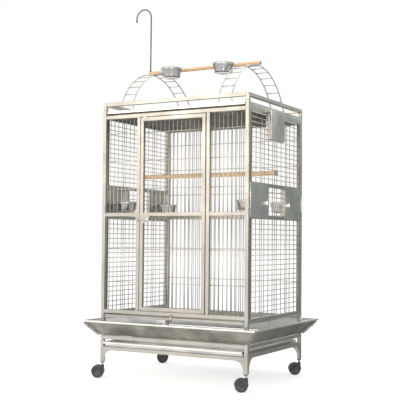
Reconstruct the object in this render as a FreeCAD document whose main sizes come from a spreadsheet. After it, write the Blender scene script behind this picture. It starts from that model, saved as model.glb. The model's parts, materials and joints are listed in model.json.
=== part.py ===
import FreeCAD, Part
import math
import os
import re
import Sketcher

# Play top bird cage
#
# A stainless steel parrot cage on a caster stand. Square tube makes the frame, and
# wire grilles fill its walls. A sloped seed skirt runs round the foot of the cage,
# litter trays and a floor grate slide out to the front, and the open play top
# carries two arched ladders, a wooden perch, two bowls and a toy hook.
#
# Millimetres. X runs to the right, Y to the rear and Z up. The origin lies on the
# floor under the middle of the frame, and the front faces -Y.

SIZES = {
    # The square tube frame
    "frame_width": 914,
    "frame_depth": 711,
    "tube_width": 20,
    "leg_end_height": 90,
    "stand_top_height": 236,
    "body_top_height": 1497,
    "play_top_rise": 41,
    "stand_side_rail_drop": 68,
    "stand_front_rail_drop": 13,
    "side_bottom_rail_rise": 112,
    "front_bottom_rail_rise": 13,
    "rear_bottom_rail_drop": 25,
    "top_rail_drop": 51,
    "mid_rail_share": 0.49585,
    "feeder_sill_drop": 14,
    "feeder_window_height": 152,
    "window_width": 216,
    "door_opening_width": 416,
    # The corner webs under the stand's lower rails
    "gusset_reach": 46,
    "gusset_drop": 68,
    "gusset_thickness": 5,
    # The leg ends and the casters
    "leg_taper_height": 8,
    "leg_taper_end_radius": 7,
    "stem_radius": 5,
    "stem_insertion": 20,
    "stem_clearance": 0.5,
    "wheel_radius": 34,
    "wheel_width": 20,
    "wheel_rounding": 5,
    "hub_radius": 17,
    "hub_recess": 2,
    "axle_radius": 4,
    "axle_clearance": 0.4,
    "caster_web_width": 6,
    "caster_web_radius": 24,
    "wheel_side_gap": 0.6,
    "fender_gap": 1.2,
    "fender_thickness": 2,
    "caster_trail": 26,
    "caster_boss_radius": 9,
    "caster_boss_top": 71.5,
    "caster_boss_bottom": 30,
    "caster_heading_angle": 29,
    # The wire grilles
    "grille_wire": 4.5,
    "cross_wire": 4,
    "front_bar_count": 7,
    "door_bar_count": 13,
    "rear_bar_count": 31,
    "side_lower_bar_count": 18,
    "side_upper_bar_count": 13,
    "window_bar_count": 5,
    "roof_bar_count": 23,
    "wire_row_one_share": 0.3234,
    "wire_row_two_share": 0.6654,
    "wire_row_three_share": 0.2779,
    "wire_row_four_share": 0.5612,
    "wire_row_five_share": 0.8446,
    "side_wire_offset": 165,
    "roof_wire_offset": 220,
    # The seed skirt
    "skirt_base_rise": 4,
    "skirt_height": 81,
    "skirt_flare": 76,
    "skirt_sheet": 1.5,
    "skirt_hem": 9,
    "skirt_flange": 13,
    # The front door, its pins and its latch
    "door_gap": 3,
    "door_hinge_gap": 5.5,
    "hinge_pin_radius": 5,
    "hinge_pin_reach": 9,
    "hinge_pin_clearance": 0.5,
    "hinge_washer_radius": 8,
    "seat_clearance": 0.3,
    "latch_plate_width": 62,
    "latch_plate_height": 40,
    "latch_plate_drop": 37,
    "plate_thickness": 2,
    "latch_bolt_radius": 4,
    "latch_bolt_length": 60,
    "latch_bolt_setback": 6,
    "latch_strap_width": 10,
    "latch_strap_thickness": 2.5,
    "latch_strap_gap": 0.6,
    "latch_strap_spacing": 25,
    "latch_thumb_width": 8,
    "latch_thumb_height": 15,
    "stop_tab_width": 26,
    "stop_tab_height": 34,
    "stop_tab_lap": 12,
    "stop_tab_inset": 40,
    # The feeder doors, their hinges, bowl rings and turn latches
    "feeder_plate_overlap": 15,
    "sheet_thickness": 1.5,
    "side_gap": 0.4,
    "knuckle_radius": 3.6,
    "knuckle_pin_radius": 1.6,
    "knuckle_bore_clearance": 0.3,
    "knuckle_length": 60,
    "knuckle_end_length": 14,
    "knuckle_end_gap": 0.4,
    "feeder_hinge_offset": 5.5,
    "bowl_rim_radius": 62,
    "bowl_top_radius": 57.5,
    "bowl_base_radius": 50.5,
    "bowl_height": 56,
    "bowl_wall": 1.4,
    "bowl_ring_gap": 0.6,
    "bowl_ring_thickness": 2,
    "bowl_ring_height": 8,
    "feeder_bowl_rise": 80,
    "feeder_bowl_depth_offset": 76,
    "feeder_bowl_side_offset": 222,
    "ring_arm_spacing": 52,
    "ring_arm_width": 8,
    "latch_turn_rise": 65,
    "latch_turn_offset": 147,
    "turn_spindle_radius": 3,
    "turn_spindle_clearance": 0.5,
    "turn_tongue_length": 30,
    "turn_tongue_width": 8,
    "turn_tongue_thickness": 2.5,
    "turn_grip_length": 22,
    "turn_grip_width": 6,
    "turn_grip_depth": 9,
    "turn_collar_radius": 6,
    "turn_collar_thickness": 2,
    # The nest door on the right side
    "nest_front_offset": 121,
    "nest_rear_offset": 58,
    "nest_opening_height": 134,
    "nest_door_lap": 30,
    "nest_door_depth": 20,
    "nest_frame_width": 8,
    "nest_bolt_radius": 3,
    "nest_bolt_length": 34,
    "nest_bolt_gap": 2,
    "nest_bolt_drop": 20,
    "nest_knob_radius": 5,
    "nest_knob_height": 7,
    "nest_guide_length": 8,
    "nest_guide_wall": 2.5,
    # Trays, runners and the floor grate
    "runner_thickness": 2,
    "runner_leg": 15,
    "slide_clearance": 4,
    "bottom_tray_rise": 9,
    "bottom_tray_depth": 26,
    "tray_sheet": 1.5,
    "tray_lip_height": 12,
    "tray_lip_reach": 11,
    "top_tray_drop": 20,
    "top_tray_depth": 13,
    "grate_drop": 8,
    "grate_rim": 6,
    "grate_bar_count": 31,
    "grate_wire_offset": 165,
    "grate_strip_height": 13,
    "grate_strip_gap": 6,
    "grate_pull_width": 12,
    "grate_pull_height": 36,
    "grate_pull_drop": 10,
    # The play top's ladders, perch, bowls and toy hook
    "ladder_rise": 208,
    "ladder_foot_length": 38,
    "ladder_inner_offset": 270,
    "ladder_width": 76,
    "ladder_wire": 6,
    "rung_wire": 5,
    "ladder_rung_count": 13,
    "rung_angle": 9.2,
    "saddle_width": 16,
    "saddle_thickness": 3,
    "top_perch_radius": 10,
    "top_perch_left": 380,
    "top_perch_right": 352,
    "perch_cap_radius": 11,
    "perch_cap_thickness": 3,
    "perch_nut_radius": 5,
    "perch_nut_length": 5,
    "left_bowl_offset": 180,
    "right_bowl_offset": 160,
    "bowl_arm_width": 18,
    "bowl_clamp_thickness": 2.5,
    "bowl_arm_length": 3,
    "hook_rod": 8,
    "hook_inset": 9,
    "hook_hole_clearance": 0.5,
    "hook_collar_radius": 7,
    "hook_collar_height": 4,
    "hook_bend_radius": 51,
    "hook_rise": 355,
    "hook_tail": 16,
    "hook_ball_radius": 6,
    # The perch inside
    "inner_perch_radius": 12.5,
    "inner_perch_offset": 13,
    "perch_bolt_radius": 3,
    "perch_bolt_grip": 10,
    "perch_washer_radius": 15,
    "perch_washer_thickness": 1.5,
    "wing_nut_radius": 5,
    "wing_nut_height": 6,
    "wing_span": 24,
    "wing_thickness": 2,
    # Spare length of a cutting solid past the face that it cuts
    "cut_overrun": 5,
}

# Heights above the floor that follow from the sizes
LEVELS = {
    "play_top_height": "body_top_height + play_top_rise",
    "stand_side_rail_height": "stand_top_height - stand_side_rail_drop",
    "stand_front_rail_height": "stand_side_rail_height - stand_front_rail_drop",
    "side_bottom_rail_height": "stand_top_height + side_bottom_rail_rise",
    "front_bottom_rail_height": "side_bottom_rail_height + front_bottom_rail_rise",
    "rear_bottom_rail_height": "side_bottom_rail_height - rear_bottom_rail_drop",
    "top_rail_height": "body_top_height - top_rail_drop",
    "lower_wall": "(top_rail_height - front_bottom_rail_height) * mid_rail_share",
    "mid_rail_height": "front_bottom_rail_height + lower_wall",
    "upper_wall": "top_rail_height - mid_rail_height",
    "feeder_sill_height": "mid_rail_height - feeder_sill_drop",
    "feeder_floor_height": "feeder_sill_height + tube_width",
    "feeder_head_height": "feeder_floor_height + feeder_window_height",
    "wire_row_one_height": "front_bottom_rail_height + lower_wall * wire_row_one_share",
    "wire_row_two_height": "front_bottom_rail_height + lower_wall * wire_row_two_share",
    "wire_row_three_height": "mid_rail_height + upper_wall * wire_row_three_share",
    "wire_row_four_height": "mid_rail_height + upper_wall * wire_row_four_share",
    "wire_row_five_height": "mid_rail_height + upper_wall * wire_row_five_share",
    "skirt_bottom_height": "stand_top_height + skirt_base_rise",
    "skirt_top_height": "skirt_bottom_height + skirt_height",
    "feeder_bowl_top_height": "feeder_floor_height + feeder_bowl_rise",
    "latch_turn_height": "feeder_floor_height + latch_turn_rise",
    "nest_bottom_height": "top_rail_height - nest_opening_height",
    "nest_door_top_height": "top_rail_height + nest_door_lap",
    "nest_bolt_height": "nest_door_top_height - nest_bolt_drop",
    "bottom_tray_height": "stand_side_rail_height + bottom_tray_rise",
    "top_tray_height": "body_top_height - top_tray_drop",
    "grate_height": "side_bottom_rail_height - grate_drop",
    "ladder_apex_height": "play_top_height + ladder_rise",
    "ladder_foot_height": "play_top_height - ladder_foot_length",
    "hook_bend_height": "ladder_apex_height + hook_rise",
}

CROSS_WIRE_ROWS_LOW = ("wire_row_one_height", "wire_row_two_height")
CROSS_WIRE_ROWS_HIGH = ("wire_row_three_height", "wire_row_four_height", "wire_row_five_height")
WIRE_SIDES = 6
SMALL_ROUND_SIDES = 8
LARGE_ROUND_SIDES = 20
ARCH_STEPS = 22
BEND_STEPS = 10
TAPER_SIDES = 4
BEAD_SIDES = 8
PERCH_BAR_GAPS = 2.5
TO_CORNER = f"/ 2 / cos(180 / {WIRE_SIDES})"

X = FreeCAD.Vector(1, 0, 0)
Y = FreeCAD.Vector(0, 1, 0)
Z = FreeCAD.Vector(0, 0, 1)

HALF_WIDTH = "frame_width / 2"
HALF_DEPTH = "frame_depth / 2"
POST_X = "(frame_width - tube_width) / 2"
POST_Y = "(frame_depth - tube_width) / 2"
CLEAR_WIDTH = "(frame_width - 2 * tube_width)"
CLEAR_DEPTH = "(frame_depth - 2 * tube_width)"
WALL_X = f"({CLEAR_WIDTH} / 2)"
WALL_Y = f"({CLEAR_DEPTH} / 2)"
JAMB_OUTER = "(door_opening_width / 2 + tube_width)"
STACK = "(grille_wire + cross_wire) / 2"
DOOR_PIN_X = "(door_opening_width / 2 - door_hinge_gap - tube_width / 2)"

doc = FreeCAD.newDocument("PlayTopBirdCage")
sheet = doc.addObject("Spreadsheet::Sheet", "Sizes")
cells = {**SIZES, **{alias: f"={text}" for alias, text in LEVELS.items()}}
for row, (alias, content) in enumerate(cells.items(), start=1):
    sheet.set(f"A{row}", alias)
    sheet.set(f"B{row}", str(content))
    sheet.setAlias(f"B{row}", alias)
doc.recompute()

ALIAS = re.compile(r"\b(" + "|".join(cells) + r")\b")
nodes = []


# Binding to the sheet
def in_sheet(text):
    """The expression with each size's word pointing at its cell."""
    return ALIAS.sub(r"Sizes.\1", text)


def number(text):
    """The expression's value now."""
    value = sheet.evalExpression(in_sheet(text))
    return float(getattr(value, "Value", value))


def bind(target, prop, text):
    target.setExpression(prop, in_sheet(text))


def put(target, place, rotation=None):
    """Bind a piece's place, with a fixed rotation."""
    if rotation is not None:
        target.Placement = FreeCAD.Placement(FreeCAD.Vector(), rotation)
    for axis, text in zip("xyz", place):
        bind(target, f".Placement.Base.{axis}", text)


def flat_facing(along, flat):
    """The rotation that lays a piece's length along one axis and a flat towards another."""
    return FreeCAD.Rotation(flat.cross(along), flat, along)


def toward(along):
    return FreeCAD.Rotation(Z, along)


# Simple pieces
def box(name, corner, size):
    piece = doc.addObject("Part::Box", name)
    for prop, text in zip(("Length", "Width", "Height"), size):
        bind(piece, prop, text)
    put(piece, corner)
    return piece


def block(name, centre_x, centre_y, bottom, size):
    """A box placed by the middle of its base."""
    corner = (f"({centre_x}) - ({size[0]}) / 2", f"({centre_y}) - ({size[1]}) / 2", bottom)
    return box(name, corner, size)


def dowel(name, start, along, radius, length):
    piece = doc.addObject("Part::Cylinder", name)
    bind(piece, "Radius", radius)
    bind(piece, "Height", length)
    put(piece, start, toward(along))
    return piece


def rod(name, start, along, radius, length, sides=SMALL_ROUND_SIDES):
    """A round piece of a kind that repeats. Flats stand for its round, with their corners on it."""
    piece = doc.addObject("Part::Prism", name)
    piece.Polygon = sides
    bind(piece, "Circumradius", radius)
    bind(piece, "Height", length)
    put(piece, start, toward(along))
    return piece


def hole(name, start, along, radius, length, sides=SMALL_ROUND_SIDES):
    """The space of a round hole. Its flats lie on its radius, so that a rod of that radius fits."""
    return rod(name, start, along, f"({radius}) / cos(180 / {sides})", length, sides)


def ring_of_points(sides, radius, level):
    turns = [2 * math.pi * index / sides for index in range(sides)]
    return [FreeCAD.Vector(radius * math.cos(turn), radius * math.sin(turn), level) for turn in turns]


def flat_sided(rings):
    """A solid between rings of corners. Each of its sides is one flat face."""
    outlines = [rings[0], rings[-1]]
    for low, high in zip(rings, rings[1:]):
        for index in range(len(low)):
            after = (index + 1) % len(low)
            outlines.append([low[index], low[after], high[after], high[index]])
    faces = [Part.Face(Part.makePolygon(corners + corners[:1])) for corners in outlines]
    solid = Part.makeSolid(Part.makeShell(faces))
    if solid.Volume < 0:
        solid.reverse()
    return solid


def taper(name, start, sides, low_radius, high_radius, height, rotation=FreeCAD.Rotation()):
    """A tapered piece between two regular outlines."""
    low = ring_of_points(sides, number(low_radius), 0)
    high = ring_of_points(sides, number(high_radius), number(height))
    piece = doc.addObject("Part::Feature", name)
    piece.Shape = flat_sided([low, high])
    put(piece, start, rotation)
    return piece


def wire(name, start, along, flat, width, length):
    """A straight wire. Six flats stand for its round, so that crossing wires meet on a flat."""
    piece = doc.addObject("Part::Prism", name)
    piece.Polygon = WIRE_SIDES
    bind(piece, "Circumradius", f"{width} {TO_CORNER}")
    bind(piece, "Height", length)
    put(piece, start, flat_facing(along, flat))
    return piece


def bent_wire(name, middle, width, radius, start_angle, end_angle, steps, across, rise):
    """A wire bent to an arc about a middle, in the plane of two directions, as mitred straight runs.

    The angle is measured from the across direction towards the rise direction."""
    flat = across.cross(rise)
    corner = number(f"{width} {TO_CORNER}")
    section = ring_of_points(WIRE_SIDES, corner, 0)
    rings = []
    for step in range(steps + 1):
        angle = math.radians(start_angle + (end_angle - start_angle) * step / steps)
        outward = across * math.cos(angle) + rise * math.sin(angle)
        rings.append([outward * (number(radius) + point.x) + flat * point.y for point in section])
    piece = doc.addObject("Part::Feature", name)
    piece.Shape = flat_sided(rings)
    put(piece, middle)
    return piece


def fused(name, *pieces):
    piece = doc.addObject("Part::MultiFuse", name)
    piece.Shapes = list(pieces)
    return piece


def cut(name, base, *tools):
    piece = doc.addObject("Part::Cut", name)
    piece.Base = base
    piece.Tool = tools[0] if len(tools) == 1 else fused(f"{name}_tools", *tools)
    return piece


def node(name, *pieces):
    """Close a sub-part: one piece, or several separate solids of one group."""
    if len(pieces) == 1:
        group = pieces[0]
    else:
        group = doc.addObject("Part::Compound", name)
        group.Links = list(pieces)
    group.Label = name
    nodes.append(group)
    return group


# Sketched pieces
def outline(body, name, role, corners):
    """A closed sketch through the corners, each bound to the sheet."""
    sketch = body.newObject("Sketcher::SketchObject", name)
    plane = next(item for item in body.Origin.OriginFeatures if item.Role == role)
    sketch.AttachmentSupport = (plane, [""])
    sketch.MapMode = "FlatFace"
    points = [FreeCAD.Vector(number(x), number(y), 0) for x, y in corners]
    count = len(points)
    for index, point in enumerate(points):
        sketch.addGeometry(Part.LineSegment(point, points[(index + 1) % count]), False)
    for index in range(count):
        sketch.addConstraint(Sketcher.Constraint("Coincident", index, 2, (index + 1) % count, 1))
    for index, (corner, point) in enumerate(zip(corners, points)):
        for kind, text, size in zip(("DistanceX", "DistanceY"), corner, point):
            place = sketch.addConstraint(Sketcher.Constraint(kind, -1, 1, index, 1, size))
            bind(sketch, f"Constraints[{place}]", text)
    return sketch


# The stand: legs with corner webs, rails and the tray's runners
def stand_leg(name, side, front):
    x = f"{side} * {POST_X}"
    y = f"{front} * {POST_Y}"
    tube = block(f"{name}_tube", x, y, "leg_end_height",
                 ("tube_width", "tube_width", "stand_top_height - leg_end_height"))
    plug = taper(f"{name}_plug", (x, y, "leg_end_height - leg_taper_height"), TAPER_SIDES,
                 "leg_taper_end_radius * sqrt(2)", "tube_width / 2 * sqrt(2)", "leg_taper_height",
                 FreeCAD.Rotation(Z, 45))
    bore = hole(f"{name}_bore", (x, y, "leg_end_height - leg_taper_height - cut_overrun"), Z,
                "stem_radius + stem_clearance",
                "leg_taper_height + stem_insertion + stem_clearance + cut_overrun")
    return cut(name, fused(f"{name}_outer", tube, plug), bore)


def gusset(name, side, front, along_x):
    """A web with an elliptic hollow, in the corner of a leg and a lower rail."""
    rail = "stand_front_rail_height" if along_x else "stand_side_rail_height"
    if along_x:
        centre_x = f"{side} * ({WALL_X} - gusset_reach / 2)"
        centre_y = f"{front} * ({HALF_DEPTH} - gusset_thickness / 2)"
        size = ("gusset_reach", "gusset_thickness", "gusset_drop")
        hollow_place = (f"{side} * ({WALL_X} - gusset_reach)", centre_y, f"{rail} - gusset_drop")
        hollow_turn = flat_facing(Y, X)
        direction = Y
    else:
        centre_x = f"{side} * ({HALF_WIDTH} - gusset_thickness / 2)"
        centre_y = f"{front} * ({WALL_Y} - gusset_reach / 2)"
        size = ("gusset_thickness", "gusset_reach", "gusset_drop")
        hollow_place = (centre_x, f"{front} * ({WALL_Y} - gusset_reach)", f"{rail} - gusset_drop")
        hollow_turn = flat_facing(X, Y)
        direction = X
    plate = block(f"{name}_plate", centre_x, centre_y, f"{rail} - gusset_drop", size)
    curve = doc.addObject("Part::Ellipse", f"{name}_curve")
    bind(curve, "MajorRadius", "gusset_drop - sheet_thickness")
    bind(curve, "MinorRadius", "gusset_reach - sheet_thickness")
    put(curve, hollow_place, hollow_turn)
    hollow = doc.addObject("Part::Extrusion", f"{name}_hollow")
    hollow.Base = curve
    hollow.DirMode = "Custom"
    hollow.Dir = direction
    hollow.Solid = True
    hollow.Symmetric = True
    bind(hollow, "LengthFwd", "gusset_thickness + 2 * cut_overrun")
    return cut(name, plate, hollow)


def rail_x(name, centre_y, bottom):
    return block(name, "0", centre_y, bottom, (CLEAR_WIDTH, "tube_width", "tube_width"))


def rail_y(name, centre_x, bottom):
    return block(name, centre_x, "0", bottom, ("tube_width", CLEAR_DEPTH, "tube_width"))


def build_stand():
    corners = [(side, front) for side in (-1, 1) for front in (-1, 1)]
    legs = [stand_leg(f"stand_leg_{index}", side, front)
            for index, (side, front) in enumerate(corners)]
    webs = [gusset(f"web_{index}_{along}", side, front, along == 0)
            for index, (side, front) in enumerate(corners) for along in (0, 1)]
    node("stand_legs", *legs, *webs)
    upper = "stand_top_height - tube_width"
    node("stand_rails",
         rail_x("stand_upper_front", f"-{POST_Y}", upper), rail_x("stand_upper_rear", POST_Y, upper),
         rail_y("stand_upper_left", f"-{POST_X}", upper), rail_y("stand_upper_right", POST_X, upper),
         rail_x("stand_lower_front", f"-{POST_Y}", "stand_front_rail_height"),
         rail_x("stand_lower_rear", POST_Y, "stand_front_rail_height"),
         rail_y("stand_lower_left", f"-{POST_X}", "stand_side_rail_height"),
         rail_y("stand_lower_right", POST_X, "stand_side_rail_height"))


# The casters: a hooded twin wheel that trails its stem
def caster_disc(name, start, radius, width, make=rod):
    """A disc about the axle, from a place across the caster's width."""
    return make(name, ("-caster_trail", start, "wheel_radius"), -Y, radius, width, LARGE_ROUND_SIDES)


def caster(name, side, front):
    place = (f"{side} * {POST_X}", f"{front} * {POST_Y}", "0")
    heading = FreeCAD.Rotation(Z, number("caster_heading_angle"))
    inner_radius = "(wheel_radius + fender_gap)"
    outer_radius = f"({inner_radius} + fender_thickness)"
    half_width = "(caster_web_width / 2 + wheel_side_gap + wheel_width)"
    side_start = f"({half_width} + cut_overrun)"
    side_width = f"({side_start} - caster_web_width / 2)"
    fender_disc = caster_disc(f"{name}_fender_disc", half_width, outer_radius, f"2 * {half_width}")
    fender_inside = caster_disc(f"{name}_fender_inside", side_start, inner_radius, f"2 * {side_start}",
                                hole)
    lower_half = block(f"{name}_lower_half", "-caster_trail", "0",
                       f"wheel_radius - 2 * {outer_radius}",
                       (f"4 * {outer_radius}", f"2 * {side_start}", f"2 * {outer_radius}"))
    fender = cut(f"{name}_fender", fender_disc, fender_inside, lower_half)
    web = caster_disc(f"{name}_web", "caster_web_width / 2", "caster_web_radius", "caster_web_width")
    spine = box(f"{name}_spine", ("-caster_trail", "-caster_web_width / 2", "wheel_radius"),
                ("caster_trail", "caster_web_width", f"{inner_radius} + fender_thickness / 2"))
    boss = rod(f"{name}_boss", ("0", "0", "caster_boss_bottom"), Z, "caster_boss_radius",
               "caster_boss_top - caster_boss_bottom")
    wells = [caster_disc(f"{name}_well_near", side_start, inner_radius, side_width, hole),
             caster_disc(f"{name}_well_far", "-caster_web_width / 2", inner_radius, side_width, hole)]
    axle_hole = hole(f"{name}_axle_hole",
                     ("-caster_trail", "caster_web_width / 2 + cut_overrun", "wheel_radius"), -Y,
                     "axle_radius + axle_clearance", "caster_web_width + 2 * cut_overrun")
    shell = cut(f"{name}_shell", fused(f"{name}_solid", fender, web, spine, boss), *wells, axle_hole)
    stem = rod(f"{name}_stem", ("0", "0", "caster_boss_top"), Z, "stem_radius",
               "leg_end_height + stem_insertion - caster_boss_top")
    hood = fused(f"{name}_hood", shell, stem)
    put(hood, place, heading)
    node(f"{name}_hood", hood)

    inner_face = "(caster_web_width / 2 + wheel_side_gap)"
    tread = "(wheel_width - wheel_rounding)"
    pieces = [rod(f"{name}_axle", ("-caster_trail", f"{inner_face} + wheel_width / 2", "wheel_radius"),
                  -Y, "axle_radius", f"2 * {inner_face} + wheel_width")]
    for hand in (-1, 1):
        outward = Y * hand
        pieces.append(rod(f"{name}_tread_{hand + 1}",
                          ("-caster_trail", f"{hand} * {inner_face}", "wheel_radius"), outward,
                          "wheel_radius", tread, LARGE_ROUND_SIDES))
        rounding = taper(f"{name}_rounding_{hand + 1}",
                         ("-caster_trail", f"{hand} * ({inner_face} + {tread})", "wheel_radius"),
                         LARGE_ROUND_SIDES, "wheel_radius", "wheel_radius - wheel_rounding",
                         "wheel_rounding", toward(outward))
        recess = rod(f"{name}_recess_{hand + 1}",
                     ("-caster_trail", f"{hand} * ({inner_face} + wheel_width - hub_recess)",
                      "wheel_radius"), outward, "hub_radius", "hub_recess + cut_overrun")
        pieces.append(cut(f"{name}_face_{hand + 1}", rounding, recess))
    wheels = fused(f"{name}_wheels", *pieces)
    put(wheels, place, heading)
    node(f"{name}_wheels", wheels)


def build_casters():
    for front, end in ((-1, "front"), (1, "rear")):
        for side, hand in ((-1, "left"), (1, "right")):
            caster(f"caster_{end}_{hand}", side, front)


# The cage frame
def build_cage_frame():
    posts = [block(f"corner_post_{side + 1}_{front + 1}", f"{side} * {POST_X}", f"{front} * {POST_Y}",
                   "stand_top_height",
                   ("tube_width", "tube_width", "body_top_height - stand_top_height"))
             for side in (-1, 1) for front in (-1, 1)]
    node("corner_posts", *posts)

    pin_bore = "hinge_pin_radius + hinge_pin_clearance"
    bottom_rail = rail_x("front_bottom_tube", f"-{POST_Y}", "front_bottom_rail_height")
    bore_bottom = "front_bottom_rail_height + tube_width - hinge_pin_reach"
    bottom_bore = hole("front_bottom_bore", (DOOR_PIN_X, f"-{POST_Y}", bore_bottom), Z, pin_bore,
                       "hinge_pin_reach + cut_overrun")
    top_rail = rail_x("front_top_tube", f"-{POST_Y}", "top_rail_height")
    top_bore = hole("front_top_bore", (DOOR_PIN_X, f"-{POST_Y}", "top_rail_height - cut_overrun"),
                    Z, pin_bore, "hinge_pin_reach + cut_overrun")

    span = f"({WALL_X} - {JAMB_OUTER})"
    rails = [block(f"front_mid_rail_{side + 1}", f"{side} * ({JAMB_OUTER} + {span} / 2)", f"-{POST_Y}",
                   "mid_rail_height", (span, "tube_width", "tube_width")) for side in (-1, 1)]
    washer_bottom = "front_bottom_rail_height + tube_width"
    washer = rod("door_washer_disc", (DOOR_PIN_X, f"-{POST_Y}", washer_bottom), Z,
                 "hinge_washer_radius", "door_gap - seat_clearance")
    washer_bore = hole("door_washer_bore", (DOOR_PIN_X, f"-{POST_Y}", f"{washer_bottom} - cut_overrun"),
                       Z, pin_bore, "door_gap + 2 * cut_overrun")
    node("front_rails", cut("front_bottom_rail", bottom_rail, bottom_bore),
         cut("front_top_rail", top_rail, top_bore), cut("door_washer", washer, washer_bore), *rails)
    jamb_bottom = "(front_bottom_rail_height + tube_width)"
    jambs = [block(f"door_jamb_{side + 1}", f"{side} * (door_opening_width + tube_width) / 2",
                   f"-{POST_Y}", jamb_bottom,
                   ("tube_width", "tube_width", f"top_rail_height - {jamb_bottom}"))
             for side in (-1, 1)]
    node("door_jambs", *jambs)

    node("rear_rails",
         rail_x("rear_bottom_rail", POST_Y, "rear_bottom_rail_height"),
         rail_x("rear_mid_rail", POST_Y, "mid_rail_height"),
         rail_x("rear_top_rail", POST_Y, "top_rail_height"))

    stile_bottom = "(feeder_sill_height + tube_width)"
    for side, hand in ((-1, "left"), (1, "right")):
        centre = f"{side} * {POST_X}"
        rails = [rail_y(f"{hand}_{level}", centre, level) for level in
                 ("side_bottom_rail_height", "feeder_sill_height", "feeder_head_height",
                  "top_rail_height")]
        stiles = [block(f"{hand}_stile_{front + 1}", centre, f"{front} * (window_width + tube_width) / 2",
                        stile_bottom, ("tube_width", "tube_width", f"feeder_head_height - {stile_bottom}"))
                  for front in (-1, 1)]
        node(f"{hand}_side_frame", *rails, *stiles)


# The wire grilles
def upright_bars(name, left, right, centre_y, bottom, top, count):
    """A row of upright wires, evenly spaced between two tubes."""
    total = int(number(count))
    return [wire(f"{name}_{index}",
                 (f"({left}) + (({right}) - ({left})) * {index} / ({count} + 1)", centre_y, bottom),
                 Z, Y, "grille_wire", f"({top}) - ({bottom})") for index in range(1, total + 1)]


def cross_wires(name, left, right, centre_y, rows):
    return [wire(f"{name}_{index}", (left, centre_y, row), X, Y, "cross_wire",
                 f"({right}) - ({left})") for index, row in enumerate(rows)]


def front_panel(name, left, right, lower_bottom, upper_top, count, mid_gap_bottom, mid_gap_top):
    """Bars under and over the middle rail, with cross wires on their inner side."""
    inner_y = f"-{POST_Y} + {STACK}"
    return (upright_bars(f"{name}_low", left, right, f"-{POST_Y}", lower_bottom, mid_gap_bottom, count)
            + upright_bars(f"{name}_high", left, right, f"-{POST_Y}", mid_gap_top, upper_top, count)
            + cross_wires(f"{name}_wires", left, right, inner_y,
                          CROSS_WIRE_ROWS_LOW + CROSS_WIRE_ROWS_HIGH))


def build_front_and_rear_grilles():
    mid_bottom = "mid_rail_height"
    mid_top = "(mid_rail_height + tube_width)"
    low = "(front_bottom_rail_height + tube_width)"
    node("front_left_grille", *front_panel("front_left", f"-{WALL_X}", f"-{JAMB_OUTER}", low,
                                           "top_rail_height", "front_bar_count", mid_bottom, mid_top))
    node("front_right_grille", *front_panel("front_right", JAMB_OUTER, WALL_X, low,
                                            "top_rail_height", "front_bar_count", mid_bottom, mid_top))
    rear_low = "(rear_bottom_rail_height + tube_width)"
    rear = (upright_bars("rear_low", f"-{WALL_X}", WALL_X, POST_Y, rear_low, mid_bottom, "rear_bar_count")
            + upright_bars("rear_high", f"-{WALL_X}", WALL_X, POST_Y, mid_top, "top_rail_height",
                           "rear_bar_count")
            + cross_wires("rear_wires", f"-{WALL_X}", WALL_X, f"{POST_Y} - {STACK}",
                          CROSS_WIRE_ROWS_LOW + CROSS_WIRE_ROWS_HIGH))
    node("rear_grille", *rear)


def side_bar(name, side, start, end, height):
    return wire(name, (f"{side} * {POST_X}", start, height), Y, X, "grille_wire", f"({end}) - ({start})")


def side_bars(name, side, start, end, bottom, top, count):
    total = int(number(count))
    return [side_bar(f"{name}_{index}", side, start, end,
                     f"({bottom}) + (({top}) - ({bottom})) * {index} / ({count} + 1)")
            for index in range(1, total + 1)]


def side_upright(name, side, centre_y, bottom, top):
    return wire(name, (f"{side} * ({POST_X} - {STACK})", centre_y, bottom), Z, X, "cross_wire",
                f"({top}) - ({bottom})")


def side_grille(hand, side):
    low_bottom = "(side_bottom_rail_height + tube_width)"
    high_bottom = "(feeder_head_height + tube_width)"
    window_bottom = "(feeder_sill_height + tube_width)"
    pieces = side_bars(f"{hand}_low", side, f"-{WALL_Y}", WALL_Y, low_bottom, "feeder_sill_height",
                       "side_lower_bar_count")
    pieces += side_bars(f"{hand}_window", side, "-window_width / 2", "window_width / 2", window_bottom,
                        "feeder_head_height", "window_bar_count")
    pieces.append(side_upright(f"{hand}_window_wire", side, "0", window_bottom, "feeder_head_height"))
    spacing = f"(top_rail_height - {high_bottom}) / (side_upper_bar_count + 1)"
    for index in range(1, int(number("side_upper_bar_count")) + 1):
        height = f"{high_bottom} + {spacing} * {index}"
        at_nest = side > 0 and number(height) > number("nest_bottom_height")
        if at_nest:
            pieces.append(side_bar(f"{hand}_high_front_{index}", side, f"-{WALL_Y}",
                                   "-nest_front_offset", height))
            pieces.append(side_bar(f"{hand}_high_rear_{index}", side,
                                   "(nest_rear_offset + nest_frame_width)", WALL_Y, height))
        else:
            pieces.append(side_bar(f"{hand}_high_{index}", side, f"-{WALL_Y}", WALL_Y, height))
    for index, centre in enumerate(("-side_wire_offset", "0", "side_wire_offset")):
        pieces.append(side_upright(f"{hand}_low_wire_{index}", side, centre, low_bottom,
                                   "feeder_sill_height"))
        under_nest = side > 0 and index == 1
        top = "nest_bottom_height" if under_nest else "top_rail_height"
        pieces.append(side_upright(f"{hand}_high_wire_{index}", side, centre, high_bottom, top))
    return pieces


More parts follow.
